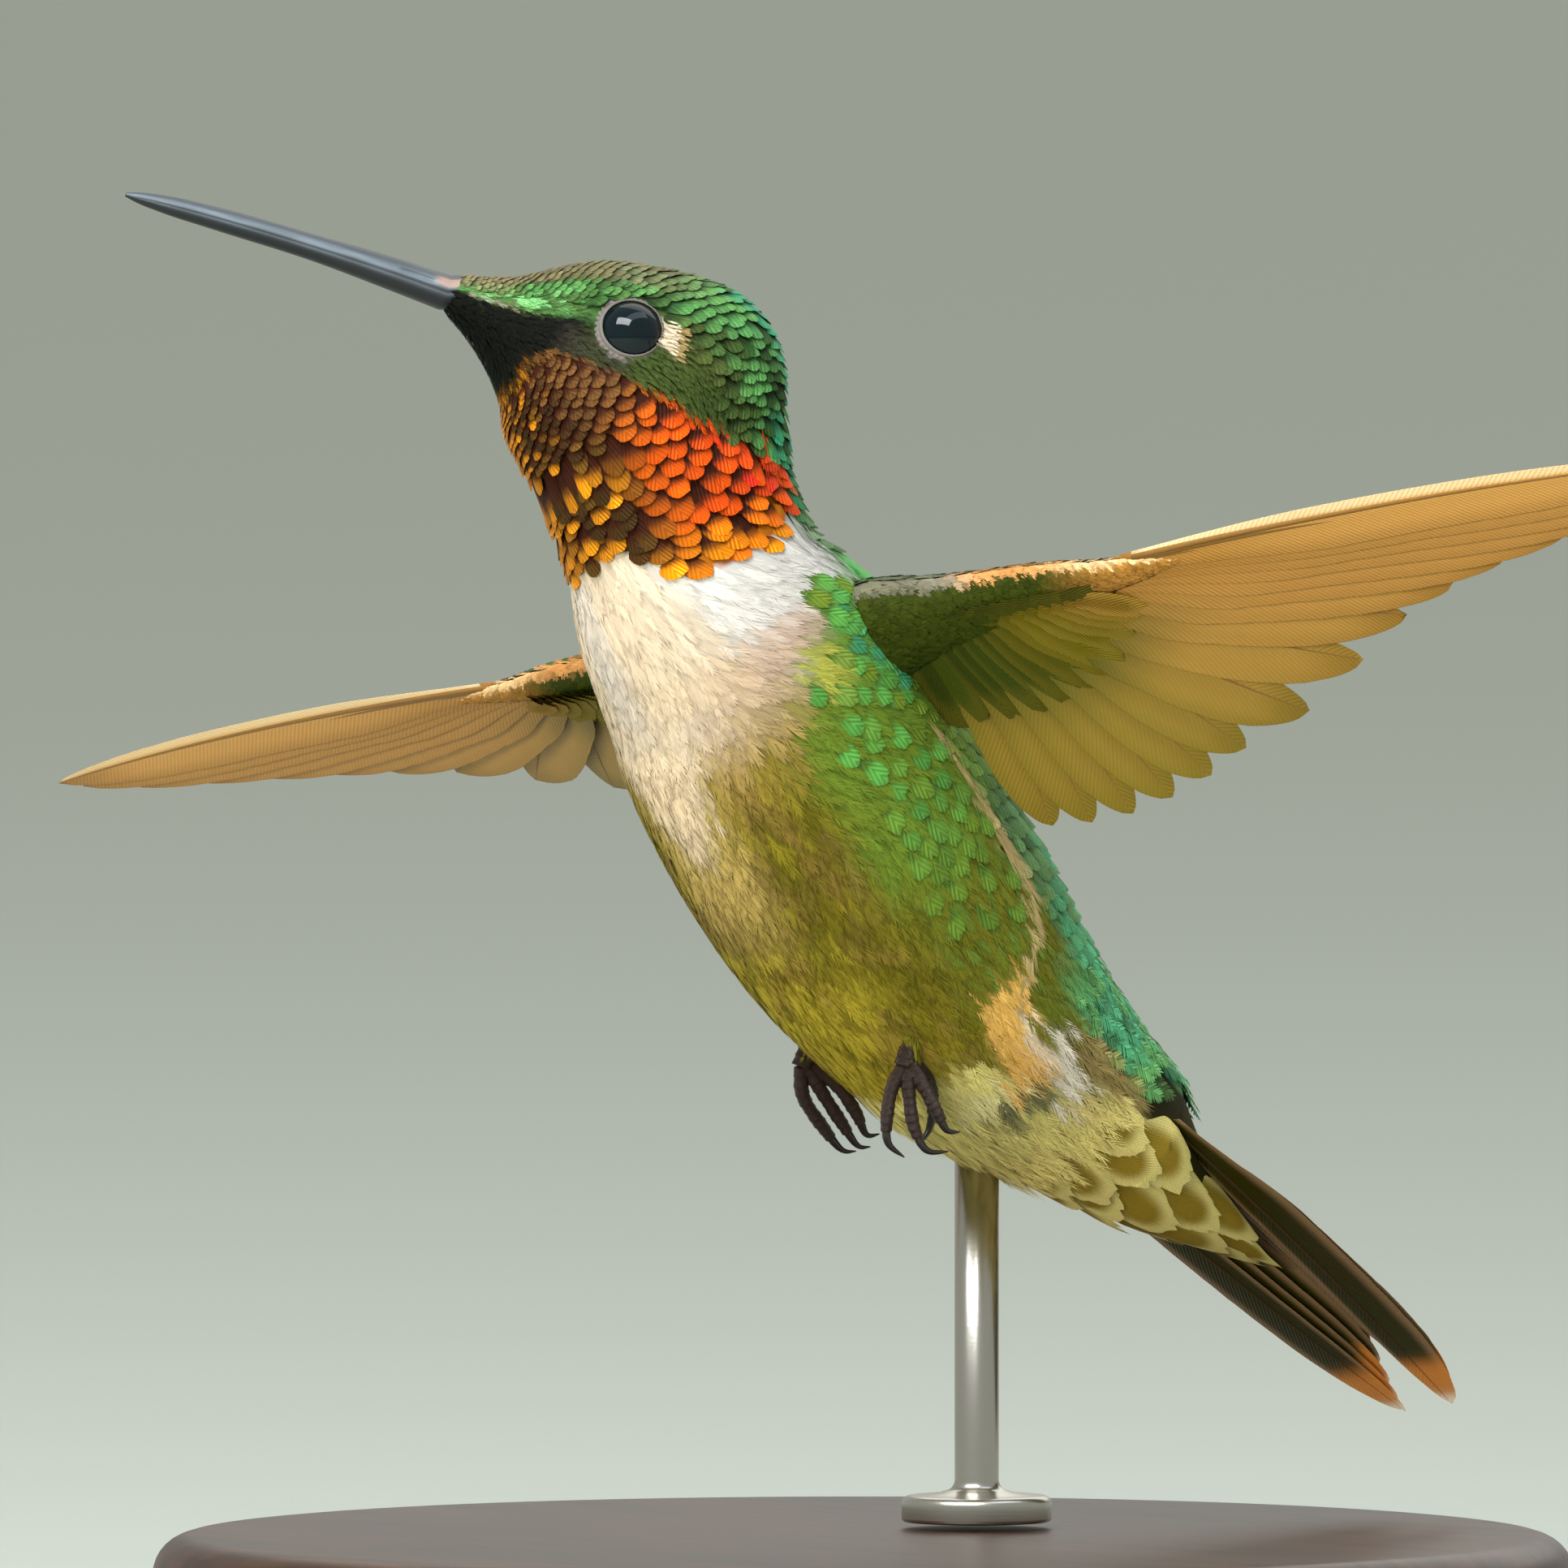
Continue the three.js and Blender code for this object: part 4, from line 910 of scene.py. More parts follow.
lay_tract("under_tail_coverts",
          lambda s, side: (s >= 46.5) * (s < 59.6) * (side > 94 + 12 * ramp(s, 48, 52)),
          lambda s, side: 2.5 + 0.3 * ramp(s, 47, 57), 24, "rump_feathers", lay=lay_scales,
          tips=under_tail, length=1.9, half=0.74, rows=18, columns=21, rounding=0.6, ragged=0.07,
          lift=(-1.0, 0.15), cup=0.1, dark=0.85, dark_to=0.4, rim=0.0, rib=0.09, soft=0.92,
          edge=plumage_colours["under_cream"], edge_from=0.34, vary=0.06)

# ---- Eyes ------------------------------------------------------------------------------------
# Each eye is a wet, near-black ball, set in the side of the head so that its front stands proud.
# A ring of bare lid, set with beads, closes round it and reaches under the cheek's feathers.

eye_radius = 1.55
lid_opening = 1.37
lid_proud = 0.12
eye_clearance = 0.3
bare_reach = 1.9                          # radius of the bare skin about the eye


def eye_seat(side):
    """Centre of an eye and its outward direction; side is 1 on the left and -1 on the right."""
    eye_turn = math.radians(eye_side)
    here = body_point(eye_along, side * eye_turn)
    down = body_point(eye_along + 0.2, side * eye_turn) - here
    over = body_point(eye_along, side * (eye_turn + 0.02)) - here
    out = unit(-side * np.cross(down, over))
    socket = eye_radius + eye_clearance
    return here + out * (lid_proud - math.sqrt(socket ** 2 - lid_opening ** 2)), out


def circle(count):
    """Angles spaced evenly round a circle, in a row."""
    return np.linspace(0, 2 * np.pi, count, endpoint=False)[None, :]


def rings_about(centre, out, radius, height):
    """Rings of points about an axis: radius and height of each row, from the front back."""
    across = unit(np.cross(out, [0, 0, 1]))
    above = np.cross(across, out)
    turn = circle(radius.shape[1])[..., None]
    return (centre + out * height[..., None]
            + radius[..., None] * (across * np.cos(turn) + above * np.sin(turn)))


# The dark iris and pupil show as one under a wet, smooth cornea. Their near black is tinted teal, a
# painted reflection of green surroundings.
wet_eye = new_material("wet_eye")
finish_material(wet_eye, {"Base Color": rgba("#011014"), "Roughness": 0.05, "IOR": 1.43})

# Bare skin, dry and grey-brown, darker in creases about 0.2 mm apart.
lid_skin = new_material("lid_skin")
lid_noise = add_node(lid_skin, "ShaderNodeTexNoise", {"Scale": 5200.0, "Detail": 2.0})
lid_ramp = add_node(lid_skin, "ShaderNodeValToRGB", {"Fac": (lid_noise, "Fac")})
lid_ramp.color_ramp.elements[0].position = 0.35
lid_ramp.color_ramp.elements[0].color = rgba("#26211e")
lid_ramp.color_ramp.elements[1].position = 0.65
lid_ramp.color_ramp.elements[1].color = rgba("#8c847b")
finish_material(lid_skin, {"Base Color": (lid_ramp, "Color"), "Roughness": 0.55})

for name, side in [("left", 1), ("right", -1)]:
    centre, out = eye_seat(side)
    rows, columns = 33, 64
    polar = np.linspace(0, np.pi, rows)[1:-1, None] * np.ones((1, columns))
    ball = rings_about(centre, out, eye_radius * np.sin(polar), eye_radius * np.cos(polar))
    ends = np.stack([centre + out * eye_radius, centre - out * eye_radius])
    eye = new_mesh(f"eyeball_{name}", np.concatenate([ball.reshape(-1, 3), ends]),
                   [block[:, ::-1] for block in poled_faces(rows - 2, columns)], wet_eye)
    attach(eye, "root")
    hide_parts(f"eye_{name}")

    # The lid's thin smooth edge rises round the opening, out of bare skin with two rows of beads.
    rows, columns = 25, 216
    t = np.linspace(0, 1, rows)[:, None]
    turn = circle(columns)
    bead = (0.5 + 0.5 * np.cos(turn * 36)) * band(t, 0.36, 0.44, 0.12)
    bead = bead + (0.5 + 0.5 * np.cos(turn * 30 + 1)) * band(t, 0.66, 0.76, 0.14)
    ahead = np.cos(turn) * side
    rim = lid_opening - 0.03
    reach = rim + (bare_reach - lid_opening) * t * (1 + 0.45 * ahead)
    height = np.sqrt(eye_radius ** 2 - rim ** 2) + 0.02 - 0.3 * t ** 1.6 - 0.2 * t ** 5
    height = height + 0.1 * band(t, 0.06, 0.16, 0.12) + 0.05 * bead
    lid = rings_about(centre, out, reach, height)
    ring = new_mesh(f"lids_{name}", lid, [grid_faces(rows, columns, closed=True)[:, ::-1]], lid_skin)
    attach(ring, "root")

# ---- Bill ------------------------------------------------------------------------------------
# A straight slender bill of dark horn with a satin face. The upper mandible closes over the
# lower one along a fine groove on each side, and a slit nostril lies under a bare, fleshy flap.

bill_root, bill_length = -0.6, 15.1       # it starts under the forehead's feathers
bill_pitch = (math.radians(22), math.radians(16))
# distance out, half width, half depth
bill_sections = np.array([[0, 0.95, 0.8], [2.5, 0.76, 0.72], [6, 0.58, 0.58], [11, 0.48, 0.5],
                          [13.4, 0.34, 0.38], [14.6, 0.2, 0.22], [bill_length, 0.08, 0.09]])
bill_droop = 0.08
# Depths are shares of the bill's half width. The seam's own half width is one of its half depth.
seam_depth, seam_half = 0.13, 0.09
slit_depth, slit_half, slit_height = 0.16, 0.09, 0.3
slit_from, slit_to = 0.9, 2.1             # the nostril's two ends
flap_depth, flap_half, flap_above = 0.05, 0.16, 0.2      # its middle lies above the slit


def bill_line(out):
    """The bill's axis in the head's plane: its slope eases from the root's pitch to the tip's."""
    fine = np.linspace(0, bill_length, 200)
    pitch = bill_pitch[0] + (bill_pitch[1] - bill_pitch[0]) * fine / bill_length
    step = fine[1]
    forward = stations[0, 0] + np.concatenate([[0], np.cumsum(np.cos(pitch[:-1]) * step)])
    up = stations[0, 1] + np.concatenate([[0], np.cumsum(np.sin(pitch[:-1]) * step)])
    return (np.interp(out, fine, column) for column in (forward, up, pitch))


def tube_faces(rows, columns):
    """Faces of a closed tube of rings of points, with flat ends."""
    first = np.arange(columns)[None, :]
    return [grid_faces(rows, columns, closed=True)[:, ::-1], first,
            (rows - 1) * columns + first[:, ::-1]]


rows, columns = 150, 96
out = np.linspace(bill_root, bill_length, rows)[:, None]
turn = circle(columns)
forward, up, pitch = bill_line(np.maximum(out, 0))
wide, deep_half = hermite(bill_sections[:, 0], bill_sections[:, 1:],
                          np.maximum(out[:, 0], 0)).T[:, :, None]
off_seam = np.abs(np.sin(turn))
groove = seam_depth * np.exp(-(off_seam / seam_half) ** 2) * fall(out, 13.5, 14.8)
slit_up = np.sin(turn) * deep_half - slit_height
nostril = (slit_depth * np.exp(-(slit_up / slit_half) ** 2) * band(out, slit_from, slit_to, 0.35)
           * (np.abs(np.cos(turn)) > 0.3))
flap = (flap_depth * np.exp(-((slit_up - flap_above) / flap_half) ** 2)
        * band(out, slit_from - 0.5, slit_to - 0.2, 0.6))
culmen = 1 + 0.06 * np.exp(-((turn - np.pi / 2) / 0.3) ** 2)
girth = 1 - groove - nostril + flap
rise = deep_half * np.sin(turn) * culmen * (1 - groove) - bill_droop
bill_points = place(wide * np.cos(turn) * girth,
                    -(forward + np.minimum(out, 0) - np.sin(pitch) * rise), up + np.cos(pitch) * rise, 1.0)

# Satin keratin with growth grain about 0.4 mm long. Its colour comes from the tint attribute, which holds
# a painted blue-grey highlight.
horn = new_material("bill_horn")
horn_tint = add_node(horn, "ShaderNodeAttribute", attribute_name="tint")
horn_grain = add_node(horn, "ShaderNodeTexNoise", {"Scale": 2600.0, "Detail": 4.0})
horn_bump = add_node(horn, "ShaderNodeBump", {
    "Strength": 0.25, "Distance": 0.00004, "Height": (horn_grain, "Fac")})
finish_material(horn, {
    "Base Color": (horn_tint, "Color"), "Roughness": 0.4, "Normal": (horn_bump, "Normal")})

# Near black, with a painted highlight as a paler blue-grey stripe along each side, fleshy flaps and a dark
# seam.
bill = new_mesh("bill_horn", bill_points, tube_faces(rows, columns), horn)
above = 0.5 + 0.5 * np.sin(turn) + 0 * out
grain = mottle(out * 0.9, np.cos(turn) * 9 + 20, 5)
painted_highlight = ramp(above, 0.28, 0.6) * (1 - 0.75 * ramp(above, 0.66, 0.93)) * (0.75 + 0.5 * grain)
bill_colour = mix(linear("#1b1f22"), linear("#66727a"), painted_highlight)
fleshy = band(out, bill_root, 0.35, 0.5) * band(above, 0.68, 0.84, 0.08)
bill_colour = mix(bill_colour, linear("#a98a78"), fleshy * 0.8)
bill_colour = bill_colour * (1 - 0.55 * np.exp(-(off_seam / 0.1) ** 2))[..., None]
paint(bill, bill_colour)
unwrap(bill, turn / (2 * np.pi) * 0.94 + 0.02 + 0 * out,
       0.02 + (out - bill_root) / (bill_length - bill_root) * 0.96 + 0 * turn)
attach(bill, "root")
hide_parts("bill")

# ---- Wings -----------------------------------------------------------------------------------
# Ten primaries and six secondaries fan from each hand and forearm. A vane is a thin curved plate
# of locked barbs on a tapering shaft. Coverts hide their roots, and small pale feathers wrap the
# leading edge.

arm_length = 6.75
hand_length = 6.2
# distance of the tip from the wrist, and its bearing off the span in degrees
primaries = [(39, 0), (38, 1.1), (35.5, 2.3), (31.8, 3.7), (27.8, 5.7),
             (24, 8.6), (20.6, 13.2), (17.6, 20.5), (15.2, 32), (13.3, 47)]
secondaries = [(11.7, 59), (11.8, 66), (11.8, 73), (11.8, 80), (11.7, 87), (11.5, 93)]
# distance out, front edge, back edge, half thickness
arm_shape = np.array([[-5.5, -1.6, 3.4, 2.1], [-2, -2.2, 3.0, 1.9], [1.5, -1.8, 2.2, 1.4],
                      [4.5, -1.6, 1.9, 1.1], [7.5, -1.45, 1.4, 0.9], [10.5, -1.1, 0.9, 0.65],
                      [13.2, -0.8, 0.5, 0.45], [14.6, -0.5, 0.2, 0.32]])
arm_from, arm_to = arm_shape[0, 0], arm_shape[-1, 0]
vane_thickness = 0.07
barb_spacing = 0.3
barb_angle = math.radians(38)             # off the shaft


def wing_frame(side, shoulder, sweep, lift, root_angle, tip_angle):
    """Point of a wing: a out along the arm, b back across the vanes, h off the upper face. The
    vanes' plane turns about the span from its root angle to its tip angle."""
    sweep, lift, root_angle, tip_angle = np.radians([sweep, lift, root_angle, tip_angle])
    span = np.array([side * np.cos(sweep) * np.cos(lift), np.sin(sweep) * np.cos(lift), np.sin(lift)])
    back = unit(np.array([0, 1, 0]) - span * span[1])
    down = np.cross(back, span) * side

    def point(a, b, h):
        """The frame's point, with the vanes' plane easing to its tip angle over 20 mm."""
        a, b, h = (x[..., None] for x in np.broadcast_arrays(a, b, h))
        angle = root_angle + (tip_angle - root_angle) * ease((a - 5) / 20)
        chord = back * np.cos(angle) + down * np.sin(angle)
        upper = np.cross(span, chord) * side
        return np.array(shoulder) + neck_foot + span * a + chord * b + upper * h
    return point


def vane_edge(t, taper_from):
    """Share of a flight feather's width at a share of its length."""
    past = np.clip((t - taper_from) / (1 - taper_from), 0, 1)
    return (0.5 + 0.5 * ramp(t, 0, 0.35)) * (1 - past ** 2.6) ** 0.62


def lay_vanes(name, point_of, vanes, colour_of, shaft_colour):
    """Flight feathers, each a thin closed shell on a surface frame. A vane is given by its root and
    tip, widths on its leading and trailing side, bow, tilt and rise, and colour_of(k, t, x, face)
    gives its colour. Returned is one mesh of all of them with their shafts."""
    rows = 44
    t = (np.linspace(0, 1, rows) ** 0.9)[:, None]
    x = np.sin(np.linspace(-np.pi / 2, np.pi / 2, 19))[None, :]
    around = np.concatenate([x, x[:, ::-1]], axis=1)
    face = np.concatenate([np.ones_like(x), -np.ones_like(x)], axis=1)
    shaft_turn = circle(8)
    sheets, colours, stripes, places, faces, start = [], [], [], [], [], 0
    for k, vane in enumerate(vanes):
        root, tip = np.array(vane["root"], float), np.array(vane["tip"], float)
        run = tip - root
        length = np.linalg.norm(run)
        across = np.array([run[1], -run[0]]) / length
        edge = vane_edge(t, vane.get("taper_from", 0.5))
        ragged = 1 + 0.03 * (mottle(t * 30 + 7 * k, 0 * t + 3, 8) - 0.5)
        wide = np.where(around > 0, vane["lead"], vane["trail"]) * edge * ragged
        camber = -vane.get("camber", 0.12) * (around * wide) ** 2 / max(vane["trail"], 0.5)
        thin = vane_thickness * (1 - 0.75 * np.abs(around) ** 3) * (1 - 0.5 * t)
        cell = (k + 0.5 + 0.42 * around) / len(vanes) * 0.48 + np.where(face > 0, 0.01, 0.51)
        # A barb runs out and forward, so it is a line of equal t less its width.
        vane_shell = (
            t, around * wide, vane["rise"] + vane["tilt"] * edge * around + camber + face * thin / 2,
            colour_of(k, t, around, face), t * length - np.abs(around * wide) / math.tan(barb_angle),
            0.02 + 0.9 * t, cell)
        # The shaft is a tapering rib that shows on both faces.
        thick = vane.get("shaft", 0.17) * (1 - 0.8 * t)
        shaft_shell = (
            np.minimum(t, 0.985), thick * np.cos(shaft_turn),
            vane["rise"] + thick * 0.8 * np.sin(shaft_turn), shaft_colour, 0 * t,
            0.94 + 0.04 * shaft_turn / (2 * np.pi), (k + t) / len(vanes) * 0.96)
        for reach, off, h, tone, stripe, u, v in (vane_shell, shaft_shell):
            bowed = off + vane["bow"] * 4 * reach * (1 - reach)
            a, b = (root[i] + run[i] * reach + across[i] * bowed for i in (0, 1))
            sheets.append(point_of(a, b, h).reshape(-1, 3))
            colours.append(np.broadcast_to(tone, (*h.shape, 3)).reshape(-1, 3))
            stripes.append(np.broadcast_to(stripe, h.shape).ravel())
            places.append(np.stack([u + 0 * h, v + 0 * h], axis=-1).reshape(-1, 2))
            shell = tube_faces(*h.shape)
            if tone is not shaft_colour:      # a vane's rings run the other way round
                shell = [block[:, ::-1] for block in shell]
            faces += [block + start for block in shell]
            start += h.size
    points = np.concatenate(sheets)
    # A frame that is mirrored turns every face inwards, which the volume's sign tells.
    corner = points[faces[0]]
    volume = (np.cross(corner[:, 1] - corner[:, 0], corner[:, 2] - corner[:, 0])
              * (corner[:, 0] - points.mean(0))).sum()
    if volume < 0:
        faces = [block[:, ::-1] for block in faces]
    piece = new_mesh(name, points, faces, vane_keratin)
    paint(piece, np.concatenate(colours))
    store(piece, "barb", np.concatenate(stripes))
    unwrap(piece, *np.concatenate(places).T)
    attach(piece, "root")
    return piece


# Locked barbs of keratin: a satin sheen, with fine parallel ribs of bump and faint painted light and
# shade. They are drawn 0.3 mm apart, coarser than real barbs, so that they show. The vane is cloudy in
# patches about 1.5 mm across.
vane_keratin = new_material("vane_keratin")
vane_tint = add_node(vane_keratin, "ShaderNodeAttribute", attribute_name="tint")
vane_barb = add_node(vane_keratin, "ShaderNodeAttribute", attribute_name="barb")
vane_angle = add_node(vane_keratin, "ShaderNodeMath", {
    0: (vane_barb, "Fac"), 1: 2 * math.pi / barb_spacing}, operation="MULTIPLY")
vane_wave = add_node(vane_keratin, "ShaderNodeMath", {0: (vane_angle, "Value")}, operation="SINE")
vane_cloud = add_node(vane_keratin, "ShaderNodeTexNoise", {"Scale": 700.0, "Detail": 3.0})
vane_painted_shade = add_node(vane_keratin, "ShaderNodeMath", {0: (vane_wave, "Value"), 1: 0.05, 2: 0.9},
                      operation="MULTIPLY_ADD")
vane_patch = add_node(vane_keratin, "ShaderNodeMath", {
    0: (vane_cloud, "Fac"), 1: 0.35, 2: (vane_painted_shade, "Value")}, operation="MULTIPLY_ADD")
vane_colour = add_node(vane_keratin, "ShaderNodeVectorMath", {
    0: (vane_tint, "Color"), "Scale": (vane_patch, "Value")}, operation="SCALE")
vane_bump = add_node(vane_keratin, "ShaderNodeBump", {
    "Strength": 0.3, "Distance": 0.00004, "Height": (vane_wave, "Value")})
finish_material(vane_keratin, {
    "Base Color": (vane_colour, "Vector"), "Roughness": 0.5, "Specular IOR Level": 0.2,
    "Normal": (vane_bump, "Normal")})

wing_colours = palette(
    vane="#b38039", vane_light="#cc9850", vane_dusky="#785726", leading="#f2d6a4", covert_under="#36400a",
    covert_brown="#6e6008", covert_outer="#86661e", covert_green="#3c6b33", vane_olive="#7a6c20",
    edge_grey="#8e8878", edge_orange="#cf9456", edge_cream="#ecc690", upper_vane="#5d4a3a")


def flight_colour(k, t, x, face):
    """Warm brown, lighter along the middle, dusky at tips and trailing edge. The first primary's
    leading edge is pale, and the upper face is darker."""
    c = wing_colours
    colour = mix(c["vane"], c["vane_light"], band(t, 0.3, 0.75, 0.25) * (1 - 0.5 * np.abs(x)))
    dusky = np.maximum(ramp(t, 0.8, 1.0), ramp(-x, 0.5, 1.0) * 0.9) * (0.4 + 0.5 * (k > 8))
    colour = mix(colour, c["vane_dusky"], dusky)
    if k == 0:
        colour = mix(colour, c["leading"], ramp(x, 0.1, 0.5) * (1 - 0.4 * t))
    colour = mix(colour, c["vane_olive"], 0.85 * ramp(k, 4, 11))
    inner = (0.08 + 0.92 * ramp(k, 3, 10)) * fall(t, 0.22, 0.45 + 0.2 * ramp(k, 6, 12))
    colour = mix(colour, c["covert_under"], inner * 0.8)
    return mix(colour, c["upper_vane"], (face > 0) * 0.75)


def from_root(root, length, bearing):
    """The point a given length from root on a bearing in degrees off the span."""
    return (root[0] + length * math.cos(math.radians(bearing)),
            root[1] + length * math.sin(math.radians(bearing)))


flight_vanes = []
for k, (reach, bearing) in enumerate(primaries):
    inward = k / (len(primaries) - 1)
    flight_vanes.append({
        "root": (arm_length + hand_length * (1 - inward) * 0.95, -0.75 + 1.05 * inward),
        "tip": from_root((arm_length, 0), reach, bearing),
        "lead": 0.55 + 0.75 * inward, "trail": 1.7 + 0.5 * min(1, k / 4), "bow": reach * 0.02,
        "tilt": 0.2, "rise": 0.015 * k,
    })
for k, (reach, bearing) in enumerate(secondaries):
    root = (arm_length - 0.55 - 0.92 * k, 0.4)
    flight_vanes.append({
        "root": root, "tip": from_root(root, reach, bearing), "lead": 1.3, "trail": 1.9,
        "bow": 0.3, "tilt": 0.2, "rise": 0.15 + 0.015 * k, "shaft": 0.13,
    })

golden_turn = 2.399963                    # the golden angle: a spiral at this step is even


def arm_colour(a, turn):
    """Along the front edge a thin line from a painted grey sheen near the shoulder through orange to
    cream, green above, and below dark olive that warms to the colour of the vanes at the wrist."""
    c = wing_colours
    outer = ramp(a, 6, 11)
    colour = mix(mix(c["covert_under"], c["vane"], outer), mix(c["covert_green"], c["upper_vane"], outer),
                 ramp(np.sin(turn), -0.1, 0.25))
    # The grey end of the line, near the shoulder, is a painted sheen.
    line = mix(mix(c["edge_grey"], c["edge_orange"], ramp(a, 1, 4)), c["edge_cream"], ramp(a, 6, 10))
    return mix(colour, line, ramp(-np.cos(turn - 0.1), 0.955, 0.998) * (0.5 + 0.5 * ramp(a, -1, 3)))


def on_arm_unwrap(a, turn):
    """Place on the unwrap of a point of the arm's skin."""
    return 0.02 + turn / (2 * np.pi) * 0.94, 0.02 + (a - arm_from) / (arm_to - arm_from) * 0.96


for name, side, shoulder, pose in [
    ("left", 1, (7.64, 5.36, 7.7), (10.7, 9.8, 56, 36)),
    ("right", -1, (-9.27, 5.36, 5.2), (3.5, -8.5, 28, 24)),
]:
    wing_point = wing_frame(side, shoulder, *pose)
    wing = lay_vanes(f"flight_feathers_{name}", wing_point, flight_vanes,
                     flight_colour, linear("#84602f"))
    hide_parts(f"wing_{name}")

    def arm_point(a, turn, grow, wing_point=wing_point):
        """The arm's skin: ellipses between its front and back edges. Turn is 0 at the back edge,
        and a quarter turn at the top."""
        a, turn, grow = np.broadcast_arrays(a, turn, grow)
        front, rear, thick = hermite(arm_shape[:, 0], arm_shape[:, 1:], np.ravel(
            np.clip(a, arm_from, arm_to))).T.reshape(3, *a.shape)
        return wing_point(a, (front + rear) / 2 + ((rear - front) / 2 + grow) * np.cos(turn),
                          (thick * 0.8 + grow) * np.sin(turn))

    # The skin lies under the small coverts and fleshes out the arm. It has their colour at half
    # brightness, as painted shade under them.
    arm_rows, arm_columns = 60, 40
    a, turn = np.broadcast_arrays(np.linspace(arm_from, arm_to, arm_rows)[:, None], circle(arm_columns))
    arm = new_mesh(f"arm_{name}", arm_point(a, turn, -0.25), tube_faces(arm_rows, arm_columns), feather)
    paint(arm, arm_colour(a, turn) * 0.5)
    unwrap(arm, *on_arm_unwrap(a, turn))
    if side < 0:
        arm.data.flip_normals()
    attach(arm, "root")

    rng = np.random.default_rng(31 + side)
    count = 1400
    a = -5.2 + 19.4 * (np.arange(count) + 0.5) / count
    turn = (np.arange(count) * golden_turn) % (2 * np.pi)
    size = rng.uniform(0.42, 0.56, count) * (1.15 - 0.03 * a)
    hue = arm_colour(a, turn) * rng.uniform(0.85, 1.12, (count, 1))
    lay_feathers(f"lesser_coverts_{name}", arm_point, a, turn, size, rng, hue,
                 0.4 * (np.sin(turn) > 0), on_arm_unwrap(a, turn), "wing_feathers", length=2.8,
                 half=0.6, pairs=10, sweep=0.5, loose=0.4, fill=1.4, lift=(-0.8, -0.2), dark=0.9,
                 turn=-0.35 * np.sign(np.sin(turn)), depth=0.25, streak=0.12, soft=0.9)

    # Two tiers of larger coverts lie over the flight feathers' roots, above and below.
    for face, tier, length, count in [(1, "greater", 1.0, 15), (1, "median", 0.66, 18),
                                      (-1, "greater", 1.0, 15), (-1, "median", 0.66, 18)]:
        t = (np.arange(count) + 0.5) / count
        root_a = 9.4 - 10.3 * t
        root_b = 0.35 - 0.3 * t + (0.2 if tier == "greater" else -0.3)
        bearing = 22 + 70 * (0.35 * ease(t) + 0.65 * t)
        long = (3.2 + 2.6 * ease(t * 2)) * length
        lies = np.radians(bearing) + rng.normal(0, 0.03, count)
        c = wing_colours
        under = mix(mix(c["covert_outer"], c["covert_brown"], ramp(t, 0, 0.3)), c["covert_under"],
                    np.maximum(ramp(t, 0.25, 0.7), 0.8 * (tier == "median")))
        on = (c["covert_green"] if face > 0 else under) * rng.uniform(0.88, 1.12, (count, 1))
        tip = c["upper_vane"] if face > 0 else mix(c["vane"], c["vane_olive"], ramp(t, -0.3, 0.3))
        tip = mix(on, tip, (tier == "greater") * (1 - 0.7 * ramp(t, 0.25, 0.5)))
        where = "upper" if face > 0 else "under"
        height = (0.42 if tier == "greater" else 0.62) + 0.2 * t

        def covert_point(a, b, h, face=face, wing_point=wing_point):
            """A point above the upper face of the vanes' plane, or below the under face."""
            return wing_point(a, b, face * (0.34 + h) + 0.1 * (face > 0))

        lay_scales(f"{tier}_{where}_coverts_{name}", covert_point, root_a, root_b, long / 3.2, rng, on,
                   np.full(count, 0.45 if face > 0 else 0.1),
                   (0.1 + 0.8 * t, np.full(count, 0.3 + 0.1 * face)), "wing_feathers", length=3.2,
                   half=0.66, rows=12, columns=11, rounding=0.25, ragged=0.03, lift=(0.9, -0.5), turn=lies,
                   depth=height, dark=0.75, dark_to=0.15, rim=0.0, rib=0.13, cup=0.05, soft=0.75,
                   edge=tip[:, None, None, None, :], edge_from=0.35)

# ---- Tail ------------------------------------------------------------------------------------
# Ten dark rectrices, folded: five on each side, the outer ones narrow, pointed and longest. Their
# roots lie in a fleshy core under the coverts.

# distance of the tip down the tail, half width, distance off the middle at root and tip
rectrices = [(18.0, 2.0, 0.7, 0.9), (19.2, 2.0, 1.3, 1.2), (20.4, 1.8, 1.9, 1.5),
             (21.3, 1.5, 2.4, 1.6), (21.9, 1.2, 2.9, 1.5)]
rectrix_root = 1.5


def tail_point(u, v, h):
    """Frame of the tail: u runs down it from the rump, v to the left and h off its upper side."""
    c, s = math.cos(tail_pitch), math.sin(tail_pitch)
    u, v, h = np.broadcast_arrays(u, v, h)
    return place(v, -stations[-1, 0] + u * c + h * s, stations[-1, 1] - u * s + h * c, 0.0)


tail_colours = palette(
    vane="#2c2a02", edge="#8a6f4e", rufous="#e2903a", tip="#fff0d8", green="#35542a")


def rectrix_colour(k, t, x, face):
    """Dark brown with paler edges, a rufous glow before the tip and a worn, pale tip. The middle
    pair are green above."""
    c = tail_colours
    colour = mix(c["vane"], c["edge"], ramp(np.abs(x), 0.62, 0.95) * 0.9)
    colour = mix(colour, c["rufous"], band(t, 0.89, 0.97, 0.07) * (k > 1) * 0.85)
    colour = mix(colour, c["tip"], ramp(t, 0.95, 0.985) * 0.85)
    return mix(colour, c["green"], (face > 0) * (0.85 if k < 2 else 0.25) * fall(t, 0.85, 1.0))


for name, mirror in [("left", 1), ("right", -1)]:
    vanes = [{
        "root": (rectrix_root - 0.5 * k, off_root + 0.1 * k), "tip": (reach, off_tip), "lead": half * 0.9,
        "trail": half * (0.85 + 0.2 * k), "bow": -0.15 - 0.08 * k, "tilt": 0.0, "taper_from": 0.62,
        "rise": 1.05 - 0.22 * k + 0.06 * mirror, "camber": -0.05, "shaft": 0.13,
    } for k, (reach, half, off_root, off_tip) in enumerate(rectrices)]
    tail = lay_vanes(f"rectrices_{name}", lambda u, v, h, mirror=mirror: tail_point(u, mirror * v, h),
                     vanes, rectrix_colour, linear("#3d2c1c"))
    if mirror > 0:
        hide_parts("tail")

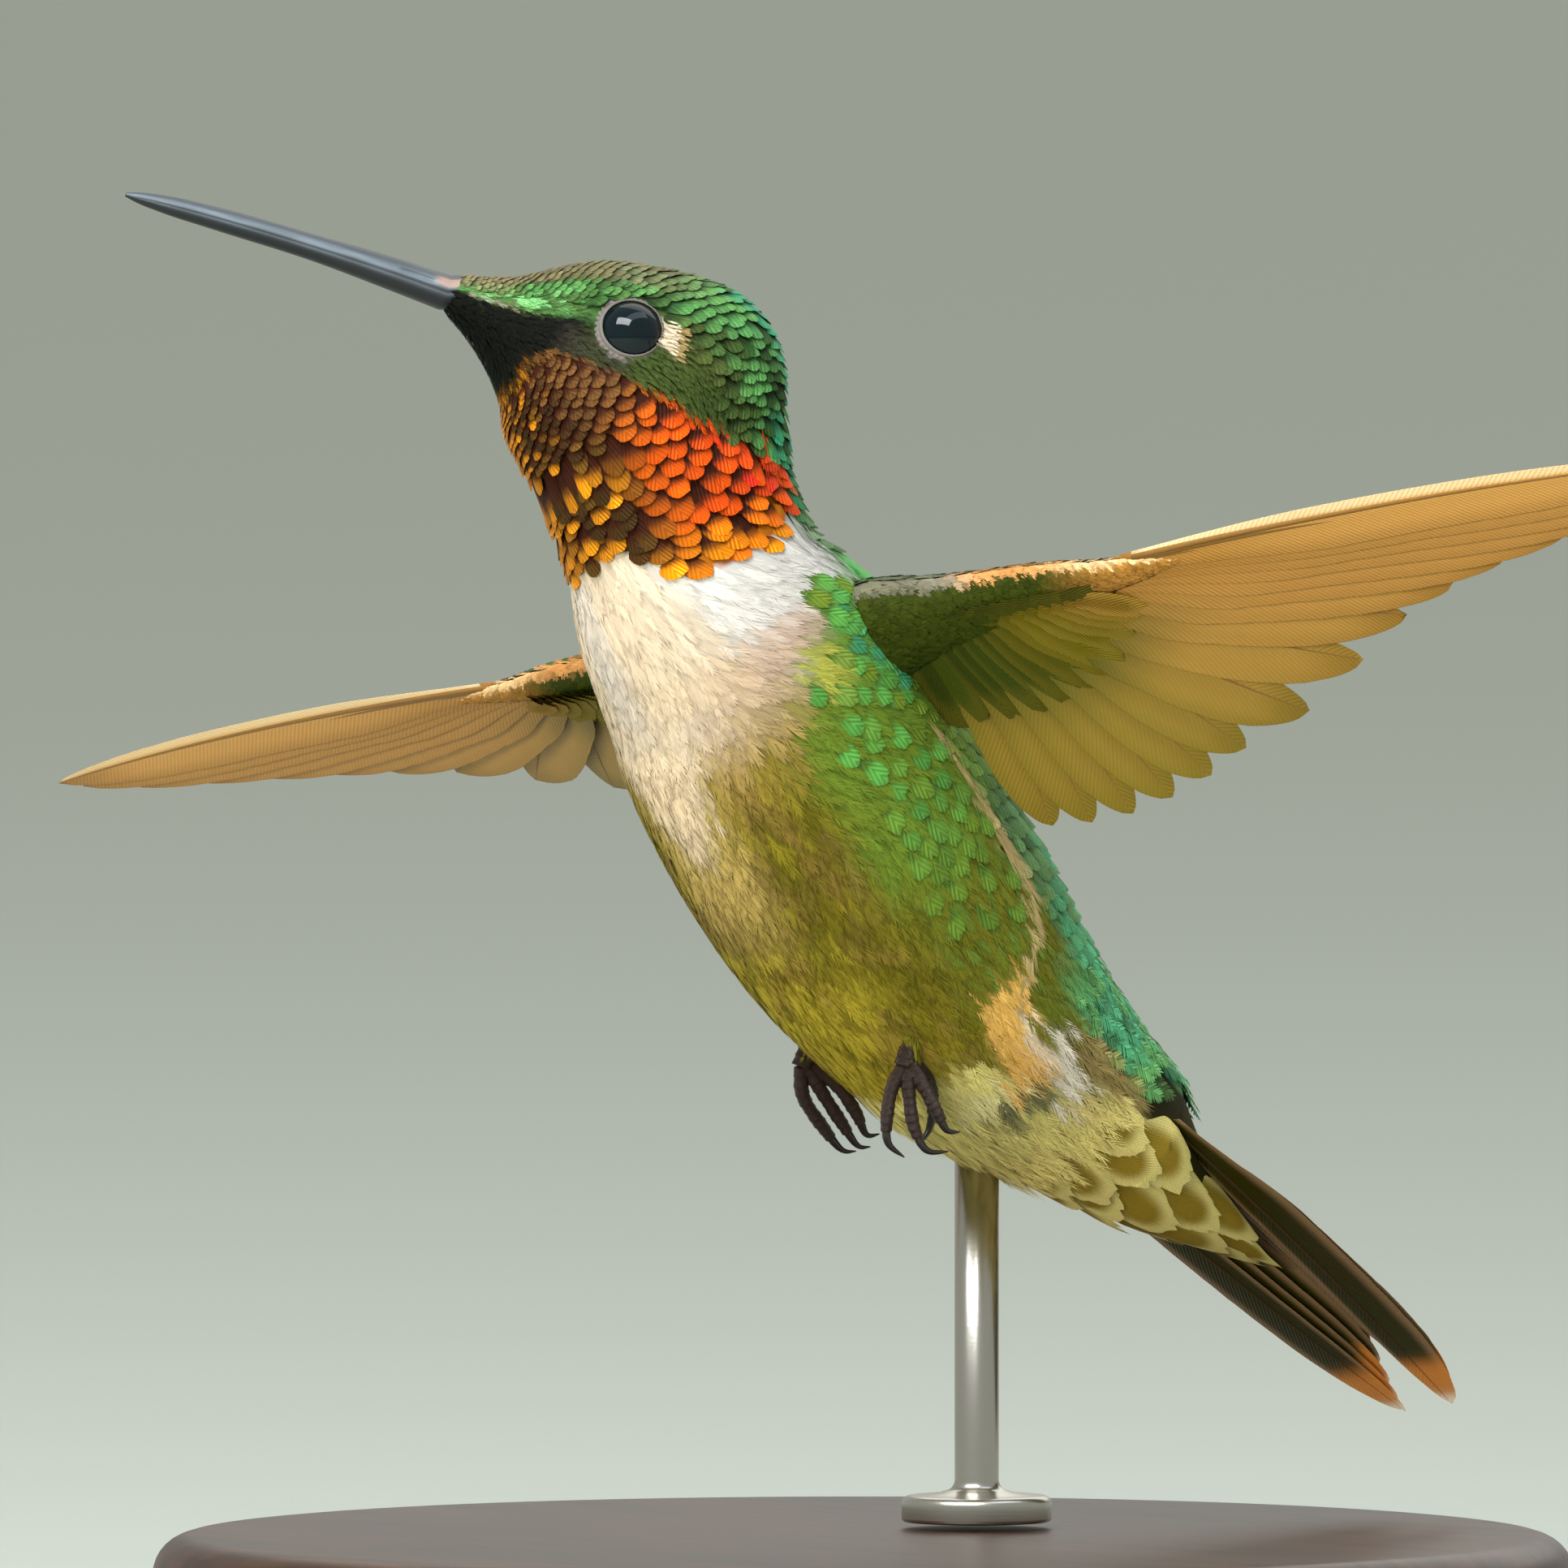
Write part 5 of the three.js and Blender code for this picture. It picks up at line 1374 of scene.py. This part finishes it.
core_rows, core_columns = 40, 60
core_along, core_turn = np.broadcast_arrays(
    np.linspace(body_length - 1.5, coat_length - 0.3, core_rows)[:, None],
    np.linspace(-np.pi, np.pi, core_columns, endpoint=False)[None, :])
core = new_mesh("tail_core", body_point(core_along, core_turn, -0.45),
                tube_faces(core_rows, core_columns), feather)
core.data.flip_normals()
paint(core, tail_colours["vane"] + np.zeros((core_rows, core_columns, 3)))
unwrap(core, *on_unwrap(core_along, core_turn))
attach(core, "root")

# ---- Legs ------------------------------------------------------------------------------------
# Short weak legs with four curled toes. The skin is dark and scaly, in rings of small scutes, and
# each claw is a polished, hooked horn.


def limb(name, path, radii, material, ring_count=0, columns=18, rows=60):
    """A tube through the points of path, in millimetres from the neck's foot, with radii spaced
    evenly along it and ring_count raised scutes, each thickest at its far edge."""
    path = np.array(path, float)
    reach = np.concatenate([[0], np.cumsum(np.linalg.norm(np.diff(path, axis=0), axis=1))])
    t = np.linspace(0, 1, rows)
    line = hermite(reach, path, t * reach[-1] * 0.99999) + neck_foot
    way = unit(np.gradient(line, axis=0))
    side = unit(np.cross(way, [1.0, 0.2, 0.1]))
    top = np.cross(way, side)
    turn = circle(columns)
    radius = np.interp(t, np.linspace(0, 1, len(radii)), radii)[:, None]
    step = (t * ring_count)[:, None] % 1
    scute = 0.22 * step ** 2 * (ring_count > 0) * (0.55 + 0.45 * np.cos(turn * 2))
    radius = radius * (1 + scute + 0.05 * (mottle(t[:, None] * 40, turn * 3 + 5, 9) - 0.5))
    points = line[:, None, :] + radius[..., None] * (
        side[:, None, :] * np.cos(turn)[..., None] + top[:, None, :] * np.sin(turn)[..., None])
    piece = new_mesh(name, points, tube_faces(rows, columns), material)
    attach(piece, "root")
    return piece


# Horny scales about 0.2 mm across, near black between them and dark brown on top.
foot_skin = new_material("scaly_skin")
foot_noise = add_node(foot_skin, "ShaderNodeTexVoronoi", {"Scale": 5200.0})
foot_ramp = add_node(foot_skin, "ShaderNodeValToRGB", {"Fac": (foot_noise, "Distance")})
foot_ramp.color_ramp.elements[0].color = rgba("#3c2519")
foot_ramp.color_ramp.elements[1].color = rgba("#0d0908")
foot_bump = add_node(foot_skin, "ShaderNodeBump", {
    "Strength": 0.5, "Distance": 0.00005, "Height": (foot_noise, "Distance")})
finish_material(foot_skin, {
    "Base Color": (foot_ramp, "Color"), "Roughness": 0.35, "Normal": (foot_bump, "Normal")})

# Polished horn, clouded every 0.4 mm or so.
claw_horn = new_material("claw_horn")
claw_noise = add_node(claw_horn, "ShaderNodeTexNoise", {"Scale": 2500.0})
claw_ramp = add_node(claw_horn, "ShaderNodeValToRGB", {"Fac": (claw_noise, "Fac")})
claw_ramp.color_ramp.elements[0].color = rgba("#14110f")
claw_ramp.color_ramp.elements[1].color = rgba("#332c27")
finish_material(claw_horn, {"Base Color": (claw_ramp, "Color"), "Roughness": 0.25})

# the tarsus's path, then each toe's path
legs = {
    "left": ([(4.6, 7.4, -10.2), (4.7, 7.6, -11.6), (4.5, 7.4, -12.7)], [
        [(4.5, 7.4, -12.6), (4.2, 6.9, -13.8), (4.1, 6.7, -15.2), (4.0, 6.9, -16.2), (4.3, 7.7, -16.9)],
        [(4.6, 7.5, -12.6), (4.7, 7.5, -13.9), (4.8, 7.7, -15.4), (5.0, 8.3, -16.5), (5.3, 9.5, -16.6)],
        [(4.7, 7.6, -12.6), (5.2, 7.9, -13.6), (5.6, 8.4, -14.8), (5.7, 8.9, -15.6), (5.9, 9.6, -15.7)],
        [(4.5, 7.7, -12.6), (4.4, 8.8, -13.1), (4.4, 9.2, -14.4), (4.4, 9.0, -15.6), (4.4, 8.2, -16.4)],
    ]),
    "right": ([(-2.4, 8.6, -10.4), (-2.4, 7.9, -12.0), (-2.6, 7.6, -13.0)], [
        [(-2.7, 7.6, -13.0), (-2.9, 8.0, -14.4), (-2.9, 9.2, -15.8), (-2.8, 10.2, -16.8),
         (-2.6, 11.0, -16.9)],
        [(-2.5, 7.8, -12.9), (-2.3, 8.6, -14.2), (-2.3, 9.7, -15.5), (-2.3, 10.7, -16.6),
         (-2.2, 11.5, -16.7)],
        [(-2.4, 8.0, -12.8), (-1.7, 9.0, -13.9), (-1.6, 10.0, -15.1), (-1.8, 10.8, -16.1),
         (-1.7, 11.6, -16.1)],
        [(-2.5, 7.9, -12.9), (-2.1, 9.2, -13.1), (-1.9, 10.3, -13.3), (-1.9, 11.0, -13.5),
         (-1.9, 11.7, -14.0)],
    ]),
}
toe_radii = [0.29, 0.33, 0.28, 0.3, 0.24]
claw_radii = [0.19, 0.2, 0.17, 0.13, 0.09, 0.03]
claw_from = 0.6                           # share of a toe's path at which its claw begins
toe_steps = 40

for name, (tarsus, toes) in legs.items():
    shank = limb(f"tarsus_{name}", tarsus, [0.44, 0.4, 0.46], foot_skin, ring_count=7)
    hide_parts(f"leg_{name}")

    def thigh_point(along, turn, grow, path=np.array(tarsus)):
        """A tapering sleeve of feathers about the top of the leg."""
        along, turn, grow = np.broadcast_arrays(along, turn, grow)
        reach = 0.62 - 0.14 * along + grow
        at = path[0] + (path[1] - path[0]) / (path[0, 2] - path[1, 2]) * along[..., None]
        return at + neck_foot + np.stack([reach * np.cos(turn), reach * np.sin(turn), 0 * reach], axis=-1)

    rng = np.random.default_rng(41)
    count = 90
    p = -0.9 + 2.0 * (np.arange(count) + 0.5) / count
    q = np.arange(count) * golden_turn % (2 * np.pi)
    lay_feathers(f"thigh_feathers_{name}", thigh_point, p, q, np.full(count, 0.34), rng,
                 plumage_colours["olive"] * rng.uniform(0.6, 1.2, (count, 1)), np.zeros(count),
                 (0.5 + q * 0.01, 0.6 + p * 0.01), "body_feathers", length=4.5, half=0.7, pairs=10,
                 sweep=0.5, loose=0.8, fill=0.8, lift=(-1.0, 0.6), depth=0.2, dark=0.7, soft=0.6)
    for k, toe in enumerate(toes):
        fine = hermite(np.arange(5.0), np.array(toe), np.linspace(0, 3.9999, toe_steps + 1))
        split = int(claw_from * toe_steps)
        limb(f"toe_{name}_{k}", fine[:split + 2:2], toe_radii, foot_skin, ring_count=9)
        limb(f"claw_{name}_{k}", fine[split - 1::2], claw_radii, claw_horn, columns=12, rows=24)

# ---- Stand -----------------------------------------------------------------------------------
# A turned hardwood disc, stained dark under satin varnish. A turned steel rod, seated on it with
# a flange, holds the bird from under the vent.

disc_radius, disc_height = 32.0, 6.0
disc_edge, disc_foot = 1.8, 0.8           # radii of its rounded upper and lower edges
rod_place = (0, 6.9)
rod_radius, rod_top = 1.0, 24.6
flange_radius, flange_low, flange_high = 3.4, 6.3, 7.5
flange_edge, flange_foot, fillet = 0.4, 0.2, 0.5
dish_radius, dish_low, dish_high = 1.7, 7.62, 8.2        # slope from the flange up to the rod
flat_radius, wall_height = 28.0, 6.95     # rings on the disc's top and the flange's wall
tip_hole = 0.01                           # radius at which a face on the axis starts


def bend(radius, height, curve, start, end):
    """Radii and heights along an arc of radius curve about a point, from one angle to another."""
    angle = np.radians(np.linspace(start, end, 9))
    return np.stack([radius + curve * np.cos(angle), height + curve * np.sin(angle)], axis=1)


def turned(name, profile, centre, columns, material, node):
    """A solid of revolution about the vertical through centre, from radii and heights."""
    profile = np.concatenate([np.array(part, float).reshape(-1, 2) for part in profile])
    turn = circle(columns)
    radius, height = profile[:, :1], profile[:, 1:]
    points = np.stack([centre[0] + radius * np.cos(turn), centre[1] + radius * np.sin(turn),
                       height + 0 * turn], axis=-1)
    piece = new_mesh(name, points, tube_faces(len(profile), columns), material)
    piece.data.flip_normals()
    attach(piece, "root")
    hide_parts(node)


# The grain runs along X: fibres about 1 mm wide and 17 mm long.
wood = new_material("stained_hardwood")
wood_place = add_node(wood, "ShaderNodeTexCoord")
wood_stretch = add_node(wood, "ShaderNodeMapping", {"Vector": (wood_place, "Object"),
                                                    "Scale": (60.0, 900.0, 900.0)})
wood_fibre = add_node(wood, "ShaderNodeTexNoise", {
    "Vector": (wood_stretch, "Vector"), "Scale": 1.0, "Detail": 6.0, "Roughness": 0.6})
wood_ramp = add_node(wood, "ShaderNodeValToRGB", {"Fac": (wood_fibre, "Fac")})
wood_ramp.color_ramp.elements[0].position = 0.3
wood_ramp.color_ramp.elements[0].color = rgba("#1d110a")
wood_ramp.color_ramp.elements[1].position = 0.75
wood_ramp.color_ramp.elements[1].color = rgba("#4b2f1c")
wood_bump = add_node(wood, "ShaderNodeBump", {
    "Strength": 0.15, "Distance": 0.0001, "Height": (wood_fibre, "Fac")})
finish_material(wood, {
    "Base Color": (wood_ramp, "Color"), "Roughness": 0.36, "Normal": (wood_bump, "Normal")})

# Bright steel with the lathe tool's fine rings, drawn about 0.1 mm apart.
steel = new_material("turned_steel")
steel_place = add_node(steel, "ShaderNodeTexCoord")
steel_stretch = add_node(steel, "ShaderNodeMapping", {"Vector": (steel_place, "Object"),
                                                      "Scale": (300.0, 300.0, 9000.0)})
steel_line = add_node(steel, "ShaderNodeTexNoise", {
    "Vector": (steel_stretch, "Vector"), "Scale": 1.0, "Detail": 2.0})
steel_bump = add_node(steel, "ShaderNodeBump", {
    "Strength": 0.12, "Distance": 0.00002, "Height": (steel_line, "Fac")})
finish_material(steel, {
    "Base Color": rgba("#c4c0b6"), "Metallic": 1.0, "Roughness": 0.27, "Normal": (steel_bump, "Normal")})

turned("stand_disc", [
    [tip_hole, 0],
    bend(disc_radius - disc_foot, disc_foot, disc_foot, -90, 0),
    bend(disc_radius - disc_edge, disc_height - disc_edge, disc_edge, 0, 90),
    [flat_radius, disc_height], [tip_hole, disc_height],
], (0, 0), 192, wood, "stand_base")
turned("stand_rod", [
    [tip_hole, flange_low],
    bend(flange_radius - flange_foot, flange_low + flange_foot, flange_foot, -90, 0),
    [flange_radius, wall_height],
    bend(flange_radius - flange_edge, flange_high - flange_edge, flange_edge, 0, 90),
    [dish_radius, dish_low],
    bend(rod_radius + fillet, dish_high, fillet, -90, -180),
    [rod_radius, rod_top], [tip_hole, rod_top],
], rod_place, 64, steel, "stand_rod")
